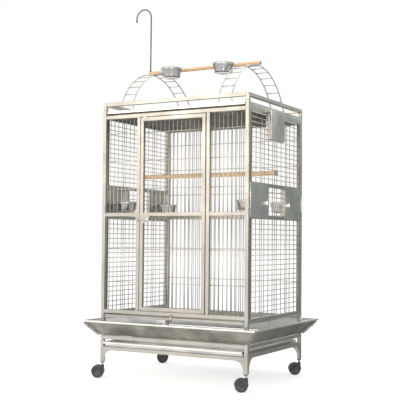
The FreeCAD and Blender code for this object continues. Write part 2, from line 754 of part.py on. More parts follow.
def build_side_and_roof_grilles():
    for side, hand in ((-1, "left"), (1, "right")):
        node(f"{hand}_side_grille", *side_grille(hand, side))
    level = "top_rail_height + tube_width / 2"
    count = int(number("roof_bar_count"))
    bars = [wire(f"roof_bar_{index}",
                 (f"-{WALL_X}", f"-{WALL_Y} + {CLEAR_DEPTH} * {index} / (roof_bar_count + 1)", level),
                 X, Z, "grille_wire", CLEAR_WIDTH) for index in range(1, count + 1)]
    wires = [wire(f"roof_wire_{side + 1}",
                  (f"{side} * roof_wire_offset", f"-{WALL_Y}", f"{level} - {STACK}"),
                  Y, Z, "cross_wire", CLEAR_DEPTH) for side in (-1, 0, 1)]
    node("roof_grille", *bars, *wires)


# The seed skirt: four sloped panels with a hemmed rim and bolted mitres
def skirt_panel(name, half_length, half_offset, turn, flanged):
    """One panel, made facing the front and turned to its own side."""
    body = doc.addObject("PartDesign::Body", name)
    base = f"-({half_offset})"
    rim = f"-({half_offset} + skirt_flare)"
    section = outline(body, f"{name}_section", "YZ_Plane", [
        (base, "skirt_bottom_height"),
        (f"{rim} + skirt_hem", "skirt_top_height - skirt_hem"),
        (rim, "skirt_top_height - skirt_hem"),
        (rim, "skirt_top_height"),
        (f"{rim} + skirt_hem", "skirt_top_height"),
        (f"{rim} + skirt_hem", "skirt_top_height - skirt_hem + skirt_sheet * sqrt(2)"),
        (base, "skirt_bottom_height + skirt_sheet * sqrt(2)"),
    ])
    pad = body.newObject("PartDesign::Pad", f"{name}_pad")
    pad.Profile = section
    pad.Midplane = True
    bind(pad, "Length", f"2 * ({half_length} + skirt_flare)")
    for hand in (-1, 1):
        near = f"{hand} * ({half_length} - cut_overrun)"
        far = f"{hand} * ({half_length} + skirt_flare + cut_overrun)"
        mitre = outline(body, f"{name}_mitre_{hand + 1}", "XY_Plane", [
            (near, f"{base} + cut_overrun"),
            (far, f"{rim} - cut_overrun"),
            (far, f"{base} + cut_overrun"),
        ])
        end = body.newObject("PartDesign::Pocket", f"{name}_end_{hand + 1}")
        end.Profile = mitre
        end.Type = "ThroughAll"
        end.Midplane = True
    body.Placement = FreeCAD.Placement(FreeCAD.Vector(), FreeCAD.Rotation(Z, turn))
    pieces = [body]
    if flanged:
        pieces += [mitre_flange(f"{name}_flange_{hand + 1}", half_length, half_offset, hand, turn)
                   for hand in (-1, 1)]
    return pieces


def mitre_flange(name, half_length, half_offset, hand, turn):
    """The bolting flange under a mitre, a flat strip that stands square below the joint."""
    reach = "(skirt_flare - skirt_hem) * sqrt(2)"
    rise = "skirt_top_height - skirt_bottom_height - skirt_hem"
    body = doc.addObject("PartDesign::Body", name)
    sketch = outline(body, f"{name}_shape", "XZ_Plane", [
        ("0", "0"),
        (reach, rise),
        (reach, f"{rise} - skirt_flange"),
        ("skirt_flange", "-skirt_flange / 2"),
    ])
    pad = body.newObject("PartDesign::Pad", f"{name}_pad")
    pad.Profile = sketch
    pad.Midplane = True
    bind(pad, "Length", "skirt_sheet")
    heading = -45 if hand > 0 else -135
    body.Placement = FreeCAD.Placement(FreeCAD.Vector(), FreeCAD.Rotation(Z, turn + heading))
    if turn == 0:
        bind(body, ".Placement.Base.x", f"{hand} * ({half_length})")
        bind(body, ".Placement.Base.y", f"-({half_offset})")
    else:
        bind(body, ".Placement.Base.x", f"-{hand} * ({half_length})")
        bind(body, ".Placement.Base.y", half_offset)
    bind(body, ".Placement.Base.z", "skirt_bottom_height")
    return body


def build_skirt():
    node("seed_skirt_front_and_rear",
         *skirt_panel("skirt_front", HALF_WIDTH, HALF_DEPTH, 0, True),
         *skirt_panel("skirt_rear", HALF_WIDTH, HALF_DEPTH, 180, True))
    node("seed_skirt_sides",
         *skirt_panel("skirt_left", HALF_DEPTH, HALF_WIDTH, 270, False),
         *skirt_panel("skirt_right", HALF_DEPTH, HALF_WIDTH, 90, False))


# The front door
def strap(name, centre_x, bolt_y, bolt_z, width):
    """A strap over a bolt: roof, floor and face, open at both ends."""
    inner = "(latch_bolt_radius + latch_strap_gap)"
    depth = f"({inner} + latch_bolt_radius + latch_strap_gap + latch_strap_thickness)"
    front = f"({bolt_y} - {inner} - latch_strap_thickness)"
    face = box(f"{name}_face", (f"{centre_x} - {width} / 2", front, f"{bolt_z} - {inner}"),
               (width, "latch_strap_thickness", f"2 * {inner}"))
    roof = box(f"{name}_roof", (f"{centre_x} - {width} / 2", front, f"{bolt_z} + {inner}"),
               (width, depth, "latch_strap_thickness"))
    floor = box(f"{name}_floor",
                (f"{centre_x} - {width} / 2", front, f"{bolt_z} - {inner} - latch_strap_thickness"),
                (width, depth, "latch_strap_thickness"))
    return [face, roof, floor]


DOOR_LEFT = "(-door_opening_width / 2 + door_gap)"
DOOR_RIGHT = "(door_opening_width / 2 - door_hinge_gap)"
DOOR_BOTTOM = "(front_bottom_rail_height + tube_width + door_gap)"
DOOR_TOP = "(top_rail_height - door_gap)"
DOOR_FRONT = f"(-{HALF_DEPTH})"
BOLT_Y = f"({DOOR_FRONT} - latch_bolt_radius - latch_strap_gap)"
BOLT_Z = "(mid_rail_height - latch_plate_drop / 2 + plate_thickness)"


def build_front_door():
    inner_left = f"({DOOR_LEFT} + tube_width)"
    inner_right = f"({DOOR_RIGHT} - tube_width)"
    inner_width = f"({inner_right} - {inner_left})"
    back = f"{DOOR_FRONT}"
    stile_height = f"{DOOR_TOP} - {DOOR_BOTTOM}"
    latch_stile = box("door_latch_stile", (DOOR_LEFT, back, DOOR_BOTTOM),
                      ("tube_width", "tube_width", stile_height))
    hinge_stile = box("door_hinge_stile", (inner_right, back, DOOR_BOTTOM),
                      ("tube_width", "tube_width", stile_height))
    pin_bottom = f"{DOOR_BOTTOM} - door_gap - hinge_pin_reach + seat_clearance"
    lower_pin = rod("door_lower_pin", (DOOR_PIN_X, f"-{POST_Y}", pin_bottom), Z, "hinge_pin_radius",
                    "hinge_pin_reach + door_gap")
    upper_pin = rod("door_upper_pin", (DOOR_PIN_X, f"-{POST_Y}", f"{DOOR_TOP} - cut_overrun"),
                    Z, "hinge_pin_radius", "hinge_pin_reach + door_gap + cut_overrun - seat_clearance")
    hinge_side = fused("door_hinge_side", hinge_stile, lower_pin, upper_pin)
    rails = [box(f"door_rail_{index}", (inner_left, back, level), (inner_width, "tube_width", "tube_width"))
             for index, level in enumerate((DOOR_BOTTOM, "mid_rail_height", f"{DOOR_TOP} - tube_width"))]
    stop_left = f"{DOOR_LEFT} + stop_tab_inset - stop_tab_width"
    stop_bottom = "(top_rail_height + stop_tab_lap - stop_tab_height)"
    stop_plate = box("door_stop_plate",
                     (stop_left, f"{DOOR_FRONT} - plate_thickness - seat_clearance", stop_bottom),
                     ("stop_tab_width", "plate_thickness", "stop_tab_height"))
    stop_pad = box("door_stop_pad", (stop_left, f"{DOOR_FRONT} - seat_clearance", stop_bottom),
                   ("stop_tab_width", "seat_clearance", f"{DOOR_TOP} - {stop_bottom}"))
    node("front_door_frame", latch_stile, hinge_side, *rails, fused("door_stop", stop_plate, stop_pad))

    node("front_door_grille",
         *front_panel("door", inner_left, inner_right, f"{DOOR_BOTTOM} + tube_width",
                      f"{DOOR_TOP} - tube_width", "door_bar_count", "mid_rail_height",
                      "(mid_rail_height + tube_width)"))


def build_door_latch():
    plate_left = DOOR_LEFT
    plate_bottom = "(mid_rail_height - latch_plate_drop)"
    plate = box("latch_plate", (plate_left, f"{DOOR_FRONT} - plate_thickness", plate_bottom),
                ("latch_plate_width", "plate_thickness", "latch_plate_height"))
    bolt_y = f"({BOLT_Y} - plate_thickness)"
    near = f"({plate_left} + latch_strap_width / 2)"
    far = f"({near} + latch_strap_spacing)"
    node("latch_body", plate, *strap("latch_near", near, bolt_y, BOLT_Z, "latch_strap_width"),
         *strap("latch_far", far, bolt_y, BOLT_Z, "latch_strap_width"))

    tip = f"({DOOR_LEFT} + latch_bolt_setback)"
    shaft = rod("bolt_shaft", (tip, bolt_y, BOLT_Z), X, "latch_bolt_radius", "latch_bolt_length")
    thumb = block("bolt_thumb", f"{tip} + latch_bolt_length - latch_thumb_width / 2",
                  f"{bolt_y} - latch_thumb_height / 2", f"{BOLT_Z} - latch_bolt_radius",
                  ("latch_thumb_width", "latch_thumb_height", "2 * latch_bolt_radius"))
    node("latch_bolt", fused("latch_bolt", shaft, thumb))

    jamb_centre = "(-(door_opening_width + tube_width) / 2)"
    keeper_plate = block("keeper_plate", jamb_centre, f"{DOOR_FRONT} - plate_thickness / 2", plate_bottom,
                         ("tube_width - plate_thickness", "plate_thickness", "latch_plate_height"))
    node("latch_keeper", keeper_plate,
         *strap("keeper", jamb_centre, bolt_y, BOLT_Z, "(tube_width - plate_thickness)"))


# The feeder doors on both sides
FEEDER_FACE = f"({HALF_WIDTH} + side_gap)"
HINGE_X = f"({HALF_WIDTH} + side_gap + knuckle_radius)"
FEEDER_HINGE_Y = f"({WALL_Y} + feeder_hinge_offset)"
FEEDER_MIDDLE = "((feeder_sill_height + tube_width + feeder_head_height) / 2)"


def hinge_pin(name, x, y, middle, side):
    """The part of a hinge that stays: a pin between two end knuckles on small feet."""
    reach = "(knuckle_length / 2 + knuckle_end_gap)"
    pin = rod(f"{name}_pin", (x, y, f"{middle} - {reach} - knuckle_end_length"), Z,
              "knuckle_pin_radius", f"2 * ({reach} + knuckle_end_length)")
    pieces = [pin]
    foot_reach = "(side_gap + knuckle_radius)"
    foot_x = f"{side} * ({HALF_WIDTH} + {foot_reach} / 2)"
    for end in (-1, 1):
        bottom = f"{middle} + {end} * ({reach} + knuckle_end_length / 2) - knuckle_end_length / 2"
        pieces.append(rod(f"{name}_end_{end + 1}", (x, y, bottom), Z, "knuckle_radius",
                          "knuckle_end_length"))
        pieces.append(block(f"{name}_foot_{end + 1}", foot_x, y, bottom,
                            (foot_reach, "knuckle_radius", "knuckle_end_length")))
    return fused(name, *pieces)


def sleeve(name, x, y, middle):
    """The part of a hinge that turns with the door."""
    outer = rod(f"{name}_outer", (x, y, f"{middle} - knuckle_length / 2"), Z, "knuckle_radius",
                "knuckle_length")
    bore = hole(f"{name}_bore", (x, y, f"{middle} - knuckle_length / 2 - cut_overrun"), Z,
                "knuckle_pin_radius + knuckle_bore_clearance", "knuckle_length + 2 * cut_overrun")
    return outer, bore


def bowl_holder(name, x, y, top, *carriers):
    """A band that holds a bowl by its rim, with what carries the band, cut clear of the bowl."""
    inner = "bowl_top_radius + bowl_ring_gap"
    band = rod(f"{name}_band", (x, y, f"{top} - bowl_ring_height"), Z, f"{inner} + bowl_ring_thickness",
               "bowl_ring_height", LARGE_ROUND_SIDES)
    inside = hole(f"{name}_inside", (x, y, f"{top} - bowl_ring_height - cut_overrun"), Z, inner,
                  "bowl_ring_height + 2 * cut_overrun", LARGE_ROUND_SIDES)
    return cut(name, fused(f"{name}_joined", band, *carriers), inside)


def bowl(name, x, y, top):
    """A tapered steel bowl with a flat rim, hung by the rim in its ring."""
    bottom = f"({top} - bowl_height)"
    outside = taper(f"{name}_outside", (x, y, bottom), LARGE_ROUND_SIDES, "bowl_base_radius",
                    "bowl_top_radius", "bowl_height")
    rim = rod(f"{name}_rim", (x, y, f"{top} - bowl_wall"), Z, "bowl_rim_radius", "bowl_wall",
              LARGE_ROUND_SIDES)
    inside = taper(f"{name}_inside", (x, y, f"{bottom} + bowl_wall"), LARGE_ROUND_SIDES,
                   "bowl_base_radius - bowl_wall", "bowl_top_radius - bowl_wall",
                   "bowl_height - bowl_wall")
    node(name, cut(name, fused(f"{name}_joined", outside, rim), inside))


RING_TOP = "(feeder_bowl_top_height - bowl_wall - seat_clearance)"


def feeder_door(name, side, front):
    plate_bottom = "(feeder_sill_height + tube_width - feeder_plate_overlap)"
    plate_height = f"(feeder_head_height + feeder_plate_overlap - {plate_bottom})"
    plate_inner = "(window_width / 2)"
    plate_width = f"({WALL_Y} - {plate_inner})"
    x = f"{side} * ({FEEDER_FACE} + sheet_thickness / 2)"
    plate = block(f"{name}_sheet", x, f"{front} * ({plate_inner} + {plate_width} / 2)", plate_bottom,
                  ("sheet_thickness", plate_width, plate_height))
    pin_x = f"{side} * {HINGE_X}"
    pin_y = f"{front} * {FEEDER_HINGE_Y}"
    outer, bore = sleeve(f"{name}_sleeve", pin_x, pin_y, FEEDER_MIDDLE)
    leaf = block(f"{name}_leaf", x, f"{front} * ({WALL_Y} + feeder_hinge_offset / 2)",
                 f"{FEEDER_MIDDLE} - knuckle_length / 2",
                 ("sheet_thickness", "feeder_hinge_offset", "knuckle_length"))
    spindle_y = f"{front} * latch_turn_offset"
    spindle_hole = hole(f"{name}_hole", (f"{side} * ({FEEDER_FACE} - cut_overrun)", spindle_y,
                        "latch_turn_height"), X * side, "turn_spindle_radius + turn_spindle_clearance",
                        "sheet_thickness + 2 * cut_overrun")
    panel = cut(f"{name}_panel", fused(f"{name}_leafed", plate, leaf, outer), bore, spindle_hole)

    bowl_x = f"{side} * ({FEEDER_FACE} - feeder_bowl_depth_offset)"
    bowl_y = f"{front} * feeder_bowl_side_offset"
    ring_radius = "(bowl_top_radius + bowl_ring_gap + bowl_ring_thickness / 2)"
    reach = f"(feeder_bowl_depth_offset - sqrt({ring_radius}^2 - (ring_arm_spacing / 2)^2))"
    arms = [block(f"{name}_arm_{hand + 1}",
                  f"{side} * ({FEEDER_FACE} - {reach} / 2)",
                  f"{front} * feeder_bowl_side_offset + {hand} * ring_arm_spacing / 2",
                  f"{RING_TOP} - bowl_ring_height",
                  (reach, "ring_arm_width", "bowl_ring_height")) for hand in (-1, 1)]
    node(name, panel, bowl_holder(f"{name}_holder", bowl_x, bowl_y, RING_TOP, *arms))
    bowl(name.replace("door", "bowl"), bowl_x, bowl_y, "feeder_bowl_top_height")
    turn_latch(name.replace("door", "latch"), side, front)


def turn_latch(name, side, front):
    """A thumb turn through the sheet. Its tongue hangs down when open and turns behind the stile."""
    y = f"{front} * latch_turn_offset"
    face = f"({FEEDER_FACE} + sheet_thickness + seat_clearance)"
    inner = f"({WALL_X} - seat_clearance - turn_tongue_thickness)"
    start = f"{side} * {inner}"
    spindle = rod(f"{name}_spindle", (start, y, "latch_turn_height"), X * side, "turn_spindle_radius",
                  f"{face} + turn_collar_thickness - {inner}")
    collar = rod(f"{name}_collar", (f"{side} * {face}", y, "latch_turn_height"), X * side,
                 "turn_collar_radius", "turn_collar_thickness")
    grip = block(f"{name}_grip", f"{side} * ({face} + turn_collar_thickness + turn_grip_depth / 2)", y,
                 "latch_turn_height - turn_grip_length / 2",
                 ("turn_grip_depth", "turn_grip_width", "turn_grip_length"))
    tongue = block(f"{name}_tongue", f"{side} * ({inner} + turn_tongue_thickness / 2)", y,
                   "latch_turn_height + turn_tongue_width / 2 - turn_tongue_length",
                   ("turn_tongue_thickness", "turn_tongue_width", "turn_tongue_length"))
    node(name, fused(name, spindle, collar, grip, tongue))


def build_feeders():
    pins = []
    for side, hand in ((-1, "left"), (1, "right")):
        for front, end in ((-1, "front"), (1, "rear")):
            feeder_door(f"feeder_door_{hand}_{end}", side, front)
            pins.append(hinge_pin(f"feeder_pin_{hand}_{end}", f"{side} * {HINGE_X}",
                                  f"{front} * {FEEDER_HINGE_Y}", FEEDER_MIDDLE, side))
    pins.append(hinge_pin("nest_pin", HINGE_X, NEST_HINGE_Y, NEST_MIDDLE, 1))
    node("side_door_hinge_pins", *pins)


# The nest door on the right side
NEST_HINGE_Y = "(nest_rear_offset + nest_frame_width / 2)"
NEST_MIDDLE = "((nest_bottom_height + top_rail_height) / 2)"
NEST_BOLT_X = f"({HALF_WIDTH} + side_gap + nest_door_depth / 2)"


def build_nest_door():
    inner_x = f"{POST_X} - nest_frame_width / 2"
    strip_depth = "nest_frame_width / 2 + tube_width / 2"
    uprights = [box(f"nest_upright_{index}", (inner_x, low, "nest_bottom_height"),
                    (strip_depth, "nest_frame_width", "top_rail_height - nest_bottom_height"))
                for index, low in enumerate(("-nest_front_offset", "nest_rear_offset"))]
    sill = box("nest_sill", (inner_x, "-nest_front_offset + nest_frame_width", "nest_bottom_height"),
               (strip_depth, "nest_front_offset + nest_rear_offset - nest_frame_width",
                "nest_frame_width"))

    width = "(nest_front_offset + nest_rear_offset)"
    corner = (FEEDER_FACE, "-nest_front_offset", "nest_bottom_height")
    outer = box("nest_door_outer", corner,
                ("nest_door_depth", width, "nest_door_top_height - nest_bottom_height"))
    hollow = box("nest_door_hollow",
                 (f"{FEEDER_FACE} - cut_overrun", "-nest_front_offset + sheet_thickness",
                  "nest_bottom_height + sheet_thickness"),
                 ("nest_door_depth + cut_overrun - sheet_thickness", f"{width} - 2 * sheet_thickness",
                  "nest_door_top_height - nest_bottom_height - 2 * sheet_thickness"))
    bolt_hole = hole("nest_bolt_hole",
                     (NEST_BOLT_X, "-nest_front_offset - cut_overrun", "nest_bolt_height"), Y,
                     "nest_bolt_radius + seat_clearance", "sheet_thickness + 2 * cut_overrun")
    knuckle, bore = sleeve("nest_sleeve", HINGE_X, NEST_HINGE_Y, NEST_MIDDLE)
    leaf = box("nest_leaf", (FEEDER_FACE, "nest_rear_offset", f"{NEST_MIDDLE} - knuckle_length / 2"),
               ("sheet_thickness", "nest_frame_width / 2", "knuckle_length"))
    shell = cut("nest_door_shell", outer, hollow)
    node("nest_door", cut("nest_door", fused("nest_door_joined", shell, leaf, knuckle), bore, bolt_hole))
    node("nest_door_surround", *uprights, sill, nest_bolt_guide())


NEST_BOLT_TIP = "(-nest_front_offset - nest_bolt_gap)"


def build_nest_bolt():
    tail = f"{NEST_BOLT_TIP} - nest_bolt_length"
    shaft = rod("nest_bolt_shaft", (NEST_BOLT_X, tail, "nest_bolt_height"), Y,
                "nest_bolt_radius", "nest_bolt_length")
    knob = rod("nest_bolt_knob", (NEST_BOLT_X, f"{tail} + nest_knob_radius", "nest_bolt_height"), X,
               "nest_knob_radius", "nest_bolt_radius + nest_knob_height")
    node("nest_bolt", fused("nest_bolt", shaft, knob))


def nest_bolt_guide():
    bore = "(nest_bolt_radius + seat_clearance)"
    start = f"{NEST_BOLT_TIP} - nest_guide_length"
    depth = f"(side_gap + nest_door_depth / 2 + {bore} + nest_guide_wall)"
    guide = box("nest_guide_block", (HALF_WIDTH, start, f"nest_bolt_height - {bore} - nest_guide_wall"),
                (depth, "nest_guide_length", f"2 * ({bore} + nest_guide_wall)"))
    passage = hole("nest_guide_bore", (NEST_BOLT_X, f"{start} - cut_overrun", "nest_bolt_height"), Y,
                   bore, "nest_guide_length + 2 * cut_overrun")
    return cut("nest_bolt_guide", guide, passage)


# Trays and the floor grate
def pan(name, half_width, front_y, rear_y, bottom, depth):
    """A shallow sheet tray, open above."""
    length = f"({rear_y} - ({front_y}))"
    outer = box(f"{name}_outer", (f"-({half_width})", front_y, bottom),
                (f"2 * ({half_width})", length, depth))
    hollow = box(f"{name}_hollow",
                 (f"-({half_width}) + tray_sheet", f"({front_y}) + tray_sheet", f"{bottom} + tray_sheet"),
                 (f"2 * ({half_width}) - 2 * tray_sheet", f"{length} - 2 * tray_sheet",
                  f"{depth} + cut_overrun"))
    return outer, hollow


def build_trays():
    half = f"({WALL_X} - runner_thickness - slide_clearance)"
    front_y = f"-{HALF_DEPTH} + slide_clearance"
    outer, hollow = pan("bottom_tray", half, front_y, WALL_Y, "bottom_tray_height", "bottom_tray_depth")
    lip = box("bottom_tray_lip",
              (f"-{half}", f"-{HALF_DEPTH} - tray_lip_reach",
               "bottom_tray_height + bottom_tray_depth - tray_lip_height"),
              (f"2 * {half}", "tray_lip_reach + slide_clearance", "tray_lip_height"))
    node("bottom_tray", fused("bottom_tray", cut("bottom_tray_pan", outer, hollow), lip))

    outer, hollow = pan("top_tray", half, front_y, f"{HALF_DEPTH} - slide_clearance", "top_tray_height",
                        "top_tray_depth")
    node("top_tray", cut("top_tray", outer, hollow))


def runner(name, side, carried, top):
    """An angle that carries a tray: a ledge turned in from a leg on the side rail's inner face."""
    shelf = f"({carried} - runner_thickness - seat_clearance)"
    flange = block(f"{name}_flange", f"{side} * ({WALL_X} - runner_thickness / 2)", "0", shelf,
                   ("runner_thickness", CLEAR_DEPTH, f"{top} + tube_width - {shelf}"))
    ledge = block(f"{name}_ledge", f"{side} * ({WALL_X} - runner_leg / 2)", "0", shelf,
                  ("runner_leg", CLEAR_DEPTH, "runner_thickness"))
    return fused(name, flange, ledge)


def top_runner(name, side):
    """An angle on the side top rail: its upright closes the gap beside the tray."""
    shelf = "(top_tray_height - runner_thickness - seat_clearance)"
    upright = block(f"{name}_upright", f"{side} * ({HALF_WIDTH} - runner_thickness / 2)", "0",
                    "top_rail_height + tube_width",
                    ("runner_thickness", CLEAR_DEPTH,
                     "top_tray_height + top_tray_depth - top_rail_height - tube_width"))
    ledge_width = "(tube_width + runner_leg)"
    ledge = block(f"{name}_ledge", f"{side} * ({HALF_WIDTH} - {ledge_width} / 2)", "0", shelf,
                  (ledge_width, CLEAR_DEPTH, "runner_thickness"))
    return fused(name, upright, ledge)


def build_runners():
    angles = []
    for side, hand in ((-1, "left"), (1, "right")):
        angles.append(runner(f"{hand}_tray_runner", side, "bottom_tray_height", "stand_side_rail_height"))
        angles.append(runner(f"{hand}_grate_runner", side, "grate_height", "side_bottom_rail_height"))
        angles.append(top_runner(f"{hand}_top_runner", side))
    node("tray_runners", *angles)


def build_grate():
    half = f"({WALL_X} - runner_thickness - runner_thickness)"
    front = f"(-{HALF_DEPTH})"
    rear = f"({WALL_Y} - runner_thickness)"
    length = f"({rear} - {front} - plate_thickness)"
    start = f"({front} + plate_thickness)"
    strip_half = f"({WALL_X} - grate_strip_gap)"
    strip = box("grate_strip", (f"-{strip_half}", front, "grate_height"),
                (f"2 * {strip_half}", "plate_thickness", "grate_strip_height"))
    sides = [block(f"grate_side_{side + 1}", f"{side} * ({half} - grate_rim / 2)",
                   f"{start} + {length} / 2", "grate_height", ("grate_rim", length, "grate_rim"))
             for side in (-1, 1)]
    inner = f"({half} - grate_rim)"
    ends = [box(f"grate_end_{index}", (f"-{inner}", low, "grate_height"),
                (f"2 * {inner}", "grate_rim", "grate_rim"))
            for index, low in enumerate((start, f"{rear} - grate_rim"))]
    level = "grate_height + grate_rim / 2"
    count = int(number("grate_bar_count"))
    spacing = f"(2 * {inner} / (grate_bar_count + 1))"
    bars = [wire(f"grate_bar_{index}", (f"-{inner} + {spacing} * {index}", f"{start} + grate_rim", level),
                 Y, Z, "grille_wire", f"{length} - 2 * grate_rim") for index in range(1, count + 1)]
    wires = [wire(f"grate_wire_{row + 1}",
                  (f"-{inner}", f"{row} * grate_wire_offset", f"{level} + {STACK}"), X, Z,
                  "cross_wire", f"2 * {inner}") for row in (-1, 0, 1)]
    pull_plate = block("grate_pull_plate", "0", f"{front} - seat_clearance - plate_thickness / 2",
                       "grate_height - grate_pull_drop",
                       ("grate_pull_width", "plate_thickness", "grate_pull_height"))
    pull_pad = block("grate_pull_pad", "0", f"{front} - seat_clearance / 2", "grate_height",
                     ("grate_pull_width", "seat_clearance", "grate_strip_height"))
    node("floor_grate", strip, fused("grate_pull", pull_plate, pull_pad), *sides, *ends, *bars, *wires)


# The play top
LADDER_FOOT_Y = f"({WALL_Y} - ladder_wire {TO_CORNER})"
LADDER_RADIUS = f"(({LADDER_FOOT_Y}^2 + ladder_rise^2) / (2 * ladder_rise))"
LADDER_CENTRE_Z = f"(ladder_apex_height - {LADDER_RADIUS})"
LADDER_TOP = f"(ladder_apex_height + ladder_wire {TO_CORNER})"
PERCH_Z = f"({LADDER_TOP} + saddle_thickness + top_perch_radius)"


def build_play_top_frame():
    legs = [block(f"play_post_{side + 1}_{front + 1}", f"{side} * {POST_X}", f"{front} * {POST_Y}",
                  "body_top_height", ("tube_width", "tube_width", "play_top_height - body_top_height"))
            for side in (-1, 1) for front in (-1, 1)]
    level = "play_top_height - tube_width"
    node("play_top_frame", *legs,
         rail_x("play_front_rail", f"-{POST_Y}", level), rail_x("play_rear_rail", POST_Y, level),
         rail_y("play_left_rail", f"-{POST_X}", level), rail_y("play_right_rail", POST_X, level))


def ladder_rail(name, x):
    """An arch from the front rail to the rear rail, with a foot down the inner face of each."""
    half_turn = number(f"asin({LADDER_FOOT_Y} / {LADDER_RADIUS})")
    arch = bent_wire(f"{name}_arch", (x, "0", LADDER_CENTRE_Z), "ladder_wire", LADDER_RADIUS,
                     90 - half_turn, 90 + half_turn, ARCH_STEPS, Y, Z)
    feet = [wire(f"{name}_foot_{front + 1}", (x, f"{front} * {LADDER_FOOT_Y}", "ladder_foot_height"),
                 Z, X, "ladder_wire", "play_top_height - ladder_foot_height") for front in (-1, 1)]
    return fused(name, arch, *feet)


def ladder_rungs(hand, side):
    """Rungs along X between a ladder's two rails, at even angles round the arch."""
    low = f"{side} * (ladder_inner_offset + ladder_width / 2)"
    length = "(ladder_width - ladder_wire)"
    count = int(number("ladder_rung_count"))
    rungs = []
    for index in range(count):
        angle = f"(rung_angle * ({index} - (ladder_rung_count - 1) / 2))"
        rungs.append(wire(f"{hand}_rung_{index}",
                          (f"{low} - {length} / 2", f"{LADDER_RADIUS} * sin({angle})",
                           f"{LADDER_CENTRE_Z} + {LADDER_RADIUS} * cos({angle})"),
                          X, Z, "rung_wire", length))
    return rungs


def build_ladders():
    sides = ((-1, "left"), (1, "right"))
    offsets = ("ladder_inner_offset", "(ladder_inner_offset + ladder_width)")
    node("ladder_rails", *(ladder_rail(f"{hand}_ladder_rail_{index}", f"{side} * {offset}")
                           for side, hand in sides for index, offset in enumerate(offsets)))
    node("ladder_rungs", *(rung for side, hand in sides for rung in ladder_rungs(hand, side)))


def build_top_perch():
    hook_x = "(-top_perch_left + hook_inset)"
    stick = dowel("top_dowel", ("-top_perch_left", "0", PERCH_Z), X, "top_perch_radius",
                  "top_perch_left + top_perch_right")
    hook_hole = hole("hook_hole", (hook_x, "0", f"{PERCH_Z} - top_perch_radius - cut_overrun"), Z,
                     f"hook_rod {TO_CORNER} + hook_hole_clearance",
                     "2 * top_perch_radius + 2 * cut_overrun")
    node("top_perch", cut("top_perch", stick, hook_hole))

    saddles = [block(f"perch_saddle_{side + 1}", f"{side} * (ladder_inner_offset + ladder_width / 2)", "0",
                     LADDER_TOP,
                     ("ladder_width + ladder_wire", "saddle_width", "saddle_thickness"))
               for side in (-1, 1)]
    cap = rod("perch_cap", ("top_perch_right", "0", PERCH_Z), X, "perch_cap_radius", "perch_cap_thickness")
    nut = rod("perch_nut", ("top_perch_right + perch_cap_thickness", "0", PERCH_Z), X, "perch_nut_radius",
              "perch_nut_length")
    node("top_perch_fittings", *saddles, fused("perch_end", cap, nut))

    arm_reach = "(top_perch_radius + bowl_clamp_thickness + bowl_arm_length)"
    ring_outer = "(bowl_top_radius + bowl_ring_gap + bowl_ring_thickness)"
    bowl_y = f"(-({arm_reach} + {ring_outer}))"
    rim_top = f"({PERCH_Z})"
    holders = []
    for hand, x in (("left", "(-left_bowl_offset)"), ("right", "right_bowl_offset")):
        ring_top = f"({rim_top} - bowl_wall - seat_clearance)"
        arm = block(f"{hand}_ring_arm", x, f"-({arm_reach} + bowl_ring_thickness / 2) / 2",
                    f"{ring_top} - bowl_ring_height",
                    ("bowl_arm_width", f"{arm_reach} + bowl_ring_thickness / 2", "bowl_ring_height"))
        clamp = rod(f"{hand}_ring_clamp", (f"{x} - bowl_arm_width / 2", "0", PERCH_Z), X,
                    "top_perch_radius + bowl_clamp_thickness", "bowl_arm_width")
        seat = hole(f"{hand}_clamp_seat", (f"{x} - bowl_arm_width / 2 - cut_overrun", "0", PERCH_Z), X,
                    "top_perch_radius", "bowl_arm_width + 2 * cut_overrun")
        holder = bowl_holder(f"{hand}_holder", x, bowl_y, ring_top, arm, clamp)
        holders.append(cut(f"{hand}_bowl_holder", holder, seat))
        bowl(f"top_bowl_{hand}", x, bowl_y, rim_top)
    node("top_bowl_holders", *holders)


def build_toy_hook():
    x = "(-top_perch_left + hook_inset)"
    bottom = f"({PERCH_Z} - top_perch_radius - hook_collar_height)"
    stem = wire("hook_stem", (x, "0", bottom), Z, Y, "hook_rod", f"hook_bend_height - {bottom}")
    bend = bent_wire("hook_bend", (f"{x} - hook_bend_radius", "0", "hook_bend_height"), "hook_rod",
                     "hook_bend_radius", 0, 180, BEND_STEPS, X, Z)
    tail_x = f"({x} - 2 * hook_bend_radius)"
    tail = wire("hook_tail", (tail_x, "0", "hook_bend_height - hook_tail"), Z, Y, "hook_rod", "hook_tail")
    tip = "hook_bend_height - hook_tail"
    beads = [taper(f"hook_bead_{hand + 1}", (tail_x, "0", tip), BEAD_SIDES, "hook_ball_radius",
                   "hook_ball_radius / 2", "hook_ball_radius", toward(Z * hand)) for hand in (-1, 1)]
    collar = rod("hook_collar", (x, "0", f"{PERCH_Z} + top_perch_radius + seat_clearance"), Z,
                 "hook_collar_radius", "hook_collar_height")
    node("toy_hook", fused("toy_hook", stem, bend, tail, *beads, collar))


